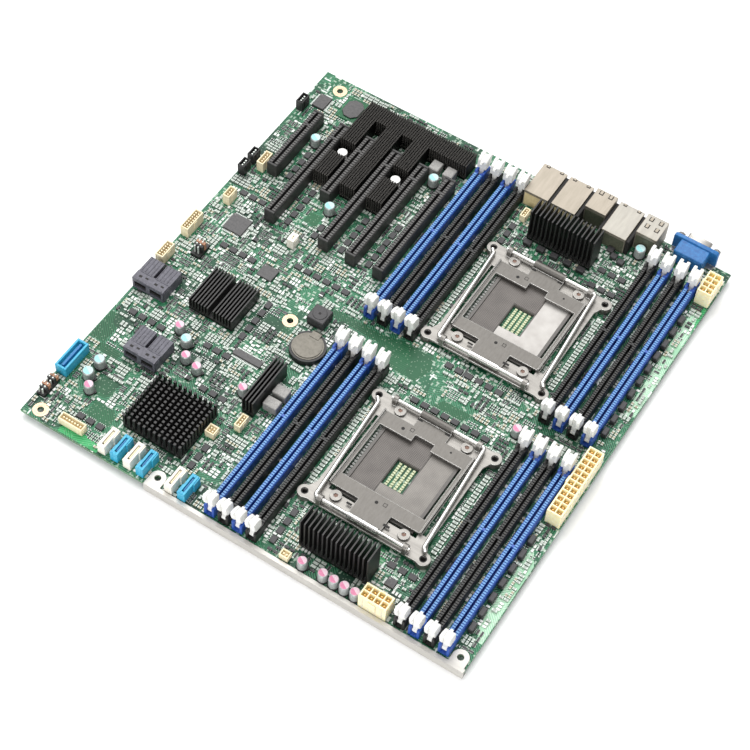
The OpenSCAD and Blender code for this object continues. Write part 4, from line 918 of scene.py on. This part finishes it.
def jumper_header(bm, wide, deep, high):
    block(bm, (0, 0, 0), (wide, deep, 2.5), 0.2)
    rows = int(deep / JUMPER_STEP)
    for row in range(rows):
        y = (deep - rows * JUMPER_STEP) / 2 + row * JUMPER_STEP
        if row % 3:
            low, top = (0.3, y + 0.15, 2.4), high - 0.8 - 0.6 * (row % 2)
            block(bm, low, (wide - 0.3, y + JUMPER_STEP - 0.15, top), 0.2, 2 * (row % 3 == 2))
        for x in (wide / 2 - 1.27, wide / 2 + 1.27):
            block(bm, (x - 0.4, y + 0.85, 2.4), (x + 0.4, y + 1.65, high), material=1)


stamps = {colour: [] for colour in HEADER_FINISHES}
for colour, x, y, *size in HEADERS:
    stamps[colour].append((shape(pin_header, *size), x, y))
for k, x in enumerate(DRIVE_PORTS):
    stamps["cyan" if k % 2 else "white"].append((shape(drive_port), x, DRIVE_Y))
for x, y, *size in JUMPERS:
    stamps["black"].append((shape(jumper_header, *size), x, y))
stamps["cyan"].append((shape(wide_header), *WIDE_HEADER_AT))
for colour, finishes in HEADER_FINISHES.items():
    piece(f"headers_{colour}", stamps[colour], finishes, stands_for=["board_headers"])

# %% [markdown]
# A clip of sprung steel holds the coin cell. The capacitors are aluminium cans on moulded feet, with a
# coloured half-moon printed on the lid.

# %% Coin cell and capacitors
SMALL_CANS = ((60.5, 82.5), (25.8, 33), (102, 82.5), (44.6, 98.5), (70.5, 79.5), (251.9, 149),
              (195.9, 5.1), (209.7, 5.1), (216.9, 5.1), (223.9, 5.1), (230.9, 5.1))
LARGE_CANS = ((20, 51), (19.6, 40.5), (53.6, 92.5), (29.4, 270.5), (68.4, 227.5), (110.8, 285.4),
              (249.2, 310))
CAN_TURN, CAN_TOP = 150, 8.0
CELL_AT, CELL_TOP = (116.2, 130.5), 5.2
pink_ink = grained("pink_ink", (200, 104, 144), (222, 144, 174), 0.8, 0.5)
pink_lid = grained("pink_lid", (214, 182, 194), (230, 204, 214), 0.8, 0.5)
cyan_ink = grained("cyan_ink", (132, 196, 198), (170, 220, 220), 0.8, 0.5)
cyan_lid = grained("cyan_lid", (174, 208, 208), (202, 226, 226), 0.8, 0.5)


def can(bm, radius):
    foot, cut = radius + 0.3, (radius + 0.3) * 0.5
    sole = [(-foot, -foot), (foot, -foot), (foot, cut), (cut, foot), (-cut, foot), (-foot, cut)]
    prism(bm, sole, 0, 1.3, "Z", 0.15, 1)
    rod(bm, (0, 0), radius, 1.3, 2.2, steps=20, tip=radius * 0.93)
    rod(bm, (0, 0), radius, 2.2, 7.4, steps=20)
    rod(bm, (0, 0), radius, 7.4, CAN_TOP, steps=20, tip=radius * 0.86)
    rod(bm, (0, 0), radius * 0.84, CAN_TOP, CAN_TOP + 0.03, steps=20, material=3)
    arc = [math.pi * k / 10 for k in range(11)]
    half_moon = [(radius * 0.82 * math.cos(angle), radius * 0.82 * math.sin(angle)) for angle in arc]
    prism(bm, half_moon, CAN_TOP + 0.03, CAN_TOP + 0.06, "Z", material=2)


def cell_clip(bm):
    block(bm, (-3.2, 6.5, CELL_TOP), (3.2, 11.6, CELL_TOP + 0.3), 0.1)
    block(bm, (-3.2, 11.0, 1), (3.2, 11.7, CELL_TOP + 0.3), 0.1)
    ring(bm, (0, 0), 8.6, 9.0, CELL_TOP - 0.02, CELL_TOP + 0.04)


for name, places, radius, ink, lid in (
        ("small", SMALL_CANS, 3.1, pink_ink, pink_lid), ("large", LARGE_CANS, 3.5, cyan_ink, cyan_lid)):
    can_mesh = shape(can, radius)
    piece(f"cans_{name}", [(can_mesh, x, y, 0, CAN_TURN) for x, y in places],
          [can_aluminium, black_plastic, ink, lid], stands_for=["capacitors"])
piece("cell_clip", [(shape(cell_clip), *CELL_AT)], [cell_nickel])

# %% [markdown]
# Chips have bevelled dark bodies and, on the flat packs, a row of legs along each side. The power
# chokes are ferrite blocks: pale ones in pairs and rows of low black ones down the right edge. The
# buzzer beside the coin cell has a round port in its lid.

# %% Chips, chokes and buzzer
LEG_STEP, LEG_LONG, LEG_HALF = 0.9, 1.5, 0.28
FLAT_CHIPS = ((26, 186, 14, 14, "lrfb"), (63.5, 165, 11, 10, ""), (12.5, 304, 9, 12, "lr"),
              (90, 105, 20, 5, "fb"), (243, 24, 6, 6, "lrfb"))
CHIP_H = 1.8
LIDDED_SIZE, LIDDED_AT = (14.5, 20), (33.3, 310)
PALE_CHOKES = ((122.3, 83.5, 9.4, 7), (122.3, 93.5, 9.4, 7), (106.3, 295.6, 7, 8.4), (116.8, 295.6, 7, 8.4))
EDGE_X, EDGE_STEP, EDGE_ROWS = 295.5, 11, ((25, 7), (179, 10))
REAR_ROW, REAR_STEP = (186, 277.6), 9.6
LOOSE_CHOKES = ((236.6, 299.4), (242.4, 297.6), (232.4, 303))
BUZZER_AT = (104.2, 147)


def flat_chip(bm, wide, deep, high, sides):
    block(bm, (-wide / 2, -deep / 2, 0.2), (wide / 2, deep / 2, high), 0.25)
    rod(bm, (-wide / 2 + 1.2, deep / 2 - 1.2), 0.4, high, high + 0.02, steps=10, material=2)
    for side in sides:
        across, reach = (deep, wide) if side in "lr" else (wide, deep)
        sign = -1 if side in "lf" else 1
        inner, outer = sorted((sign * reach / 2, sign * (reach / 2 + LEG_LONG)))
        for k in range(int(across / LEG_STEP) - 1):
            place = -across / 2 + LEG_STEP * (k + 1)
            low, far = (inner, place - LEG_HALF), (outer, place + LEG_HALF)
            if side in "fb":
                low, far = low[::-1], far[::-1]
            block(bm, (*low, 0), (*far, 0.5), material=1)


def lidded_chip(bm, wide, deep):
    block(bm, (-wide / 2, -deep / 2, 0), (wide / 2, deep / 2, 0.8), material=3)
    x, y, cut = wide / 2 - 1.2, deep / 2 - 2.2, 3.4
    lid = [(x, cut - y), (x, y - cut), (x - cut, y), (cut - x, y),
           (-x, y - cut), (-x, cut - y), (cut - x, -y), (x - cut, -y)]
    prism(bm, lid, 0.8, 1.8, "Z", 0.2)


def choke(bm, wide, deep, high):
    block(bm, (-wide / 2, -deep / 2, 0.3), (wide / 2, deep / 2, high), 0.4)
    for x in (-wide * 0.42, wide * 0.42):
        block(bm, (x - 0.6, -deep * 0.3, 0), (x + 0.6, deep * 0.3, 0.35), material=1)


def buzzer(bm):
    block(bm, (0, 0, 0), (12, 12, 7.6), 0.5)
    rod(bm, (6, 6), 4.6, 7.6, 8.0, steps=24, tip=4.3)
    # The round port is a dark disc of painted shade.
    rod(bm, (6, 6), 0.9, 8.0, 8.03, steps=12, material=2)


chip_black = grained("chip_black", (34, 33, 35), (60, 58, 60), 1.2, 0.48)
chip_grey = grained("chip_grey", (52, 51, 52), (84, 82, 82), 1.6, 0.45)
stamps = [(shape(flat_chip, wide, deep, CHIP_H, sides), x, y) for x, y, wide, deep, sides in FLAT_CHIPS]
stamps.append((shape(lidded_chip, *LIDDED_SIZE), *LIDDED_AT))
piece("chips", stamps, [chip_grey, solder, choke_grey, plain_mask],
      stands_for=["chips_and_chokes"])
stamps = [(shape(choke, wide, deep, 7.0), x, y) for x, y, wide, deep in PALE_CHOKES]
piece("pale_chokes", stamps, [choke_grey, tin], stands_for=["chips_and_chokes"])
stamps = grid(shape(choke, 5.4, 4, 3.4), *REAR_ROW, 5, 1, REAR_STEP, 0)
for first, rows in EDGE_ROWS:
    stamps += grid(shape(choke, 3.4, 6, 4.6), EDGE_X, first, 1, rows, 0, EDGE_STEP)
stamps += [(shape(choke, 4.6, 4.2, 3.0), x, y) for x, y in LOOSE_CHOKES]
stamps.append((shape(buzzer), *BUZZER_AT))
piece("dark_chokes", stamps, [chip_black, tin, hole_shade], stands_for=["chips_and_chokes"])

# %% [markdown]
# Thin layers on the board itself: gilt rings round the screw holes, clean patches of solder mask and
# the pale regulator strips down the right edge.

# %% Rings and patches
HOLES = ((10, 6.6), (95, 143), (16.5, 319.8), (299, 319.8))
PATCH_T = 0.03
PATCHES = (
    (fresh_mask, [(27, 0.6), (55, 0.6), (55, 4), (52, 7), (30, 7), (27, 4)]),
    (plain_mask, [(24, 35), (27, 33), (36, 34), (39, 38), (37, 46), (30, 47), (25, 43)]),
    (plain_mask, [(0.6, 66), (11, 66), (11, 88), (0.6, 88)]),
    (plain_mask, [(148, 148), (182, 148), (186, 160), (182, 169), (160, 169), (148, 166), (112, 166),
                  (112, 160), (148, 160)]),
    (plain_mask, [(33, 18.6), (50, 18.6), (50, 27), (46, 30), (33, 30)]),
    (plain_mask, [(10, 60), (25, 60), (25, 65.6), (10, 65.6)]),
    (plain_mask, [(80, 133), (100, 133), (100, 137), (84, 140)]),
    (plain_mask, [(200, 139), (220, 139), (224, 146), (204, 146)]),
    (leaf_mask, [(219, 31), (226, 28), (232, 31), (233, 38), (227, 40), (221, 37)]),
    (plain_mask, [(58, 213), (67, 213), (67, 222), (58, 222)]),
    (mint_mask, [(297.4, 30), (301.6, 20), (304.6, 20), (304.6, 78), (297.8, 90), (297.4, 86)]),
    (mint_mask, [(298.6, 196), (304.6, 200), (304.6, 274), (302, 290), (297.4, 290), (297.4, 262)]),
    (fresh_mask, [(302.2, 290), (304.6, 275), (304.6, 296), (302.4, 297)]),
)


def gilt_ring(bm):
    ring(bm, (0, 0), 2.1, 4.9, 0.0, 0.05)
    ring(bm, (0, 0), 2.9, 3.3, 0.05, 0.2)


piece("gilt_rings", [(shape(gilt_ring), x, y) for x, y in HOLES], [gilt])
for k, (finish, outline) in enumerate(PATCHES):
    patch_mesh = shape(prism, outline, 0.0, PATCH_T, "Z")
    piece(f"mask_patch_{k + 1}", [(patch_mesh, 0, 0)], [finish])

# %% [markdown]
# The rest of the board is covered with small parts. A few kinds are drawn once: capacitors and
# resistors with tinned ends, resistor networks, transistors, drivers, tantalums and crystals.

# %% Small parts
cap_tan = grained("cap_tan", (146, 138, 116), (186, 178, 154), 0.7, 0.5)
cap_grey = grained("cap_grey", (142, 152, 143), (192, 200, 191), 0.7, 0.5)
SMALL_FINISHES = [tin, cap_tan, cap_grey, chip_black, latch_white]


def end_capped(bm, length, wide, high, end, body):
    x, y = length / 2 - end, wide / 2 - 0.05
    block(bm, (-x, -y, 0), (x, y, high), material=body)
    for side in (-length / 2, x):
        block(bm, (side, -wide / 2, 0), (side + end, wide / 2, high + 0.04))


def network(bm):
    block(bm, (-1.6, -0.6, 0.05), (1.6, 0.6, 0.6), material=3)
    for k in range(4):
        block(bm, (-1.45 + 0.8 * k, -0.85, 0), (-0.95 + 0.8 * k, 0.85, 0.5))


def transistor(bm):
    block(bm, (-1.5, -0.7, 0.15), (1.5, 0.7, 1.1), material=3)
    for x, y in ((-1, -1.2), (0.6, -1.2), (-0.2, 0.6)):
        block(bm, (x, y, 0), (x + 0.4, y + 0.6, 0.4))


def driver(bm):
    block(bm, (-2.5, -1.9, 0.15), (2.5, 1.9, 1.5), 0.2, 3)
    for k in range(4):
        block(bm, (-2.1 + 1.27 * k, -3, 0), (-1.7 + 1.27 * k, 3, 0.45))


def tantalum(bm):
    block(bm, (-1.8, -1.4, 0.1), (1.8, 1.4, 1.9), 0.15, 3)
    block(bm, (-1.6, -1.41, 1.4), (-0.9, 1.41, 1.92), material=4)
    for side in (-2.1, 1.7):
        block(bm, (side, -1.1, 0), (side + 0.4, 1.1, 1.2))


def crystal(bm):
    block(bm, (-2.5, -1.6, 0), (2.5, 1.6, 0.7), material=3)
    block(bm, (-2.2, -1.3, 0.7), (2.2, 1.3, 1.3), 0.2)


def small_choke(bm):
    block(bm, (-1.9, -1.9, 0), (1.9, 1.9, 1.7), 0.3, 2)
    block(bm, (-2.1, -1.2, 0), (2.1, 1.2, 0.5))


large_cap = shape(end_capped, 3.2, 1.7, 1.46, 0.6, 2)
driver_mesh = shape(driver)
tan_cap, grey_cap = (shape(end_capped, 2.4, 1.5, 1.1, 0.5, body) for body in (1, 2))
resistor = shape(end_capped, 1.9, 1.1, 0.5, 0.45, 3)
white_part = shape(end_capped, 2.4, 1.4, 0.7, 0.4, 4)
# The length, width and shape of each kind, and how often it is drawn
KINDS = (
    (2.4, 1.5, tan_cap), (2.4, 1.5, grey_cap), (1.9, 1.1, resistor), (2.4, 1.4, white_part),
    (3.2, 1.7, large_cap), (3.2, 1.8, shape(network)), (3.0, 2.4, shape(transistor)),
    (5.2, 6.0, driver_mesh), (4.2, 2.8, shape(tantalum)), (5.0, 3.2, shape(crystal)),
    (4.2, 3.8, shape(small_choke)))
WEIGHTS = (16, 26, 18, 12, 12, 10, 9, 5, 5, 3, 5)
print("kinds of small part:", len(KINDS))

# %% [markdown]
# Some parts stand in rows: capacitors down both sides of each socket, smaller ones inside its frame,
# and driver chips beside the regulators and between the expansion slots. Most of these rows are in
# the solids too, so each piece here stands for its share of them.

# %% Rows of capacitors and drivers
ROW_PITCH, ROW_COUNT, ROW_OUT, ROW_START = 2.6, 24, 42.1, -31.15
INNER_PITCH, INNER_COUNT, INNER_OUT, INNER_START = 2.3, 21, 27.7, -23
DRIVER_PITCH, DRIVER_LONG, DRIVER_SHORT = 7.0, 5.0, 3.8
DRIVERS_ALONG = (
    (10, 92, 4), (78, 70, 3), (62, 97, 3), (26, 166, 4), (74, 178, 6), (12, 208, 3), (30, 14, 3),
    (SOCKET_X - 24, 134, 8), (SOCKET_X - 20, 167, 6), (SOCKET_X + 24, 32, 3),
    (233, BOARD_D - 60, 3), (233, BOARD_D - 46, 3))
DRIVERS_UPRIGHT = (
    (76, 114, 5), (104, 22, 3), (171, 8, 4), (169, BOARD_D - 62, 3),
    *((CARD_STEP * (k + 1.5) - DRIVER_SHORT / 2, 204 if k else 236, count)
      for k, count in enumerate((4, 5, 2, 5, 6))))
inner_cap = shape(end_capped, 2.3, 1.5, 1.1, 0.5, 4)


def beside_sockets(mesh, out, start, count, pitch):
    """Stamps in a row on both sides of each socket."""
    return [made for y in SOCKET_YS for x in (SOCKET_X - out, SOCKET_X + out)
            for made in grid(mesh, x, y + start, 1, count, 0, pitch)]


piece("row_capacitors", beside_sockets(large_cap, ROW_OUT, ROW_START, ROW_COUNT, ROW_PITCH),
      SMALL_FINISHES, stands_for=["chips_and_chokes"])
piece("inner_capacitors", beside_sockets(inner_cap, INNER_OUT, INNER_START, INNER_COUNT, INNER_PITCH),
      SMALL_FINISHES)
stamps = []
for x, y, count in DRIVERS_ALONG:
    stamps += grid(driver_mesh, x + DRIVER_LONG / 2, y + DRIVER_SHORT / 2, count, 1, DRIVER_PITCH, 0)
for x, y, count in DRIVERS_UPRIGHT:
    stamps += grid(driver_mesh, x + DRIVER_SHORT / 2, y + DRIVER_LONG / 2, 1, count, 0, DRIVER_PITCH, 90)
piece("driver_chips", stamps, SMALL_FINISHES, stands_for=["chips_and_chokes"])

# %% [markdown]
# The small parts go wherever the board is bare. A ray dropped onto each square millimetre says which
# squares those are, and a few stretches are kept clear.

# %% Bare board
CLEAR = (
    (26, 50, 0, 5), (24, 39, 33, 47), (0, 11, 66, 88), (148, 186, 148, 169), (0, 20, 312, 330),
    (112, 148, 160, 166), (33, 50, 18, 30), (10, 25, 60, 66), (80, 100, 133, 140), (202, 222, 139, 146),
    (58, 67, 213, 222), *((199, 223, int(y) - 12, int(y) + 13) for y in SOCKET_YS))
RAY_START, TOUCH = 60, 0.04
shown = bpy.context.evaluated_depsgraph_get()


def is_bare(x, y):
    """Whether a ray dropped onto a place on the board meets the board itself."""
    hit, place, *_ = scene.ray_cast(shown, spot(x, y, RAY_START), Vector((0, 0, -1)))
    return hit and abs(place.z - board_high.z) < TOUCH * MM


bare = {(i, j) for i in range(int(BOARD_W)) for j in range(int(BOARD_D)) if is_bare(i + 0.5, j + 0.5)}
for x0, x1, y0, y1 in CLEAR:
    bare -= {(i, j) for i in range(x0, x1) for j in range(y0, y1)}
print("bare square millimetres:", len(bare))

# %% [markdown]
# Groups of parts in straight rows then fill the bare squares, tile by tile. The seed is fixed, so that
# every run gives the same board.

# %% Placing the small parts
SEED = 11
MARGIN, PART_GAP, FINE = 1.2, 0.7, 2.5
TILE, BIG_PART = 6, 4
LEFT_HALF, LEFT_GROUPS, RIGHT_GROUPS = 128, 4, 3
DRIFT_MM, DRIFT_LEVEL, DRIFT_GROUPS = 15, 3.5, 7
chance = random.Random(SEED)
taken = set()


def crowding(x, y):
    """How many groups are tried in a tile. A slow drift leaves some stretches of board bare."""
    drift = noise.noise(Vector((x / DRIFT_MM, y / DRIFT_MM, DRIFT_LEVEL)))
    return max(0, round((LEFT_GROUPS if x < LEFT_HALF else RIGHT_GROUPS) + DRIFT_GROUPS * drift))


def squares(low_x, high_x, low_y, high_y):
    """The whole squares that a rectangle touches."""
    return {(i, j) for i in range(int(low_x), int(high_x) + 1) for j in range(int(low_y), int(high_y) + 1)}


def settle(x, y, wide, deep):
    """Takes a rectangle of the board for a part if it is all bare and free."""
    sides = (x - wide / 2, x + wide / 2, y - deep / 2, y + deep / 2)
    if min(sides[0], sides[2], BOARD_W - sides[1], BOARD_D - sides[3]) < MARGIN:
        return False
    cells = squares(*(side * FINE for side in sides))
    if not squares(*sides) <= bare or cells & taken:
        return False
    taken.update(cells)
    return True


placed = []
for tile_x in range(0, int(BOARD_W), TILE):
    for tile_y in range(0, int(BOARD_D), TILE):
        for _ in range(crowding(tile_x, tile_y)):
            long, short, mesh = chance.choices(KINDS, WEIGHTS)[0]
            turn = chance.choice((0, 90))
            wide, deep = (long, short) if turn == 0 else (short, long)
            columns, rows = (1, 1) if long > BIG_PART else (chance.randint(1, 4), chance.randint(1, 3))
            start_x = tile_x + chance.randint(0, 2 * TILE) / 2
            start_y = tile_y + chance.randint(0, 2 * TILE) / 2
            for part in grid(mesh, start_x, start_y, columns, rows, wide + PART_GAP, deep + PART_GAP, turn):
                if settle(part[1], part[2], wide, deep):
                    placed.append(part)
for k in range(3):
    piece(f"small_parts_{k + 1}", placed[k::3], SMALL_FINISHES)
print("small parts:", len(placed))

# %% [markdown]
# Underneath, the pins of the slots, ports and connectors come through the board as rows of solder
# cones. There are more than two thousand, so each has only five sides.

# %% Solder cones
UNDER = (board_low.z - board_high.z) / MM
MEMORY_PINS, MEMORY_PIN_STEP, CARD_PIN_STEP = 52, 2.3, 2.5
# First pin, columns, rows and pitch
PIN_FIELDS = [(297.3, 110.2, 2, 12, 4.2), (297.3, 300.2, 2, 4, 4.2), (237.5, 4.7, 4, 2, 4.2),
              (269, 321, 8, 2, 2.4)]
PIN_FIELDS += [(x + 3.5, 308, 6, 2, 2.0) for x in JACKS] + [(x + 3.8, 317, 4, 2, 2.3) for x in USBS]


def cone(bm):
    rod(bm, (0, 0), 0.5, UNDER - 0.9, UNDER, steps=5, tip=0.75)


cone_mesh = shape(cone)
stamps = []
for x, y, _ in BANKS.values():
    for side, late in ((-1.2, 0), (1.2, 0.5)):
        first = (x + side, y + 11 + late)
        stamps += grid(cone_mesh, *first, BANK_SLOTS, MEMORY_PINS, BANK_STEP, MEMORY_PIN_STEP)
for k, length in enumerate(CARD_SLOTS):
    rows = int((length - 6) / CARD_PIN_STEP)
    stamps += grid(cone_mesh, CARD_STEP * (k + 1) - 1.6, CARD_REAR - 3, 2, rows, 3.2, -CARD_PIN_STEP)
for x, y, columns, rows, pitch in PIN_FIELDS:
    stamps += grid(cone_mesh, x, y, columns, rows, pitch, pitch)
piece("solder_cones", stamps, [tin])

# %% [markdown]
# A block of capacitors sits behind each processor, inside the opening of its backplate. Small groups
# of them are scattered over the rest, wherever no pins or plates are.

# %% Capacitors underneath
UNDER_TILE, GROUP_START = 13, 3
ACROSS, DOWN = 3.4, 2.0
UNDER_CLEAR = (
    (0, BOARD_W, 0, 14), (0, 24, 312, BOARD_D), (286, BOARD_W, 0, BOARD_D), (155, BOARD_W, 298, BOARD_D),
    (85, 105, 133, 153), (10, 130, 190, 296),
    *((x - 8, x + 37, y, y + SLOT_LEN) for x, y, _ in BANKS.values()),
    *((SOCKET_X - 55, SOCKET_X + 55, y - 55, y + 55) for y in SOCKET_YS))


def under_cap(bm):
    block(bm, (-1.0, -0.7, UNDER - 1), (1.0, 0.7, UNDER), material=2)
    for side in (-1.6, 0.9):
        block(bm, (side, -0.75, UNDER - 1.04), (side + 0.7, 0.75, UNDER))


under_mesh = shape(under_cap)
stamps = []
for socket_y in SOCKET_YS:
    stamps += grid(under_mesh, SOCKET_X - 11, socket_y - 9.8, 6, 8, 4.4, 2.8)
for i in range(int(BOARD_W / UNDER_TILE)):
    for j in range(int(BOARD_D / UNDER_TILE)):
        x, y = (i + 0.5) * UNDER_TILE, (j + 0.5) * UNDER_TILE
        columns, rows, turn = chance.randint(0, 3), chance.randint(0, 3), chance.choice((0, 90))
        if any(x0 < x < x1 and y0 < y < y1 for x0, x1, y0, y1 in UNDER_CLEAR):
            continue
        layout = (columns, rows, ACROSS, DOWN) if turn == 0 else (rows, columns, DOWN, ACROSS)
        stamps += grid(under_mesh, x - GROUP_START, y - GROUP_START, *layout, turn)
piece("under_capacitors", stamps, SMALL_FINISHES)

# %% [markdown]
# The dressed board should keep the size of the solids.

# %% End
print("scene dressed")
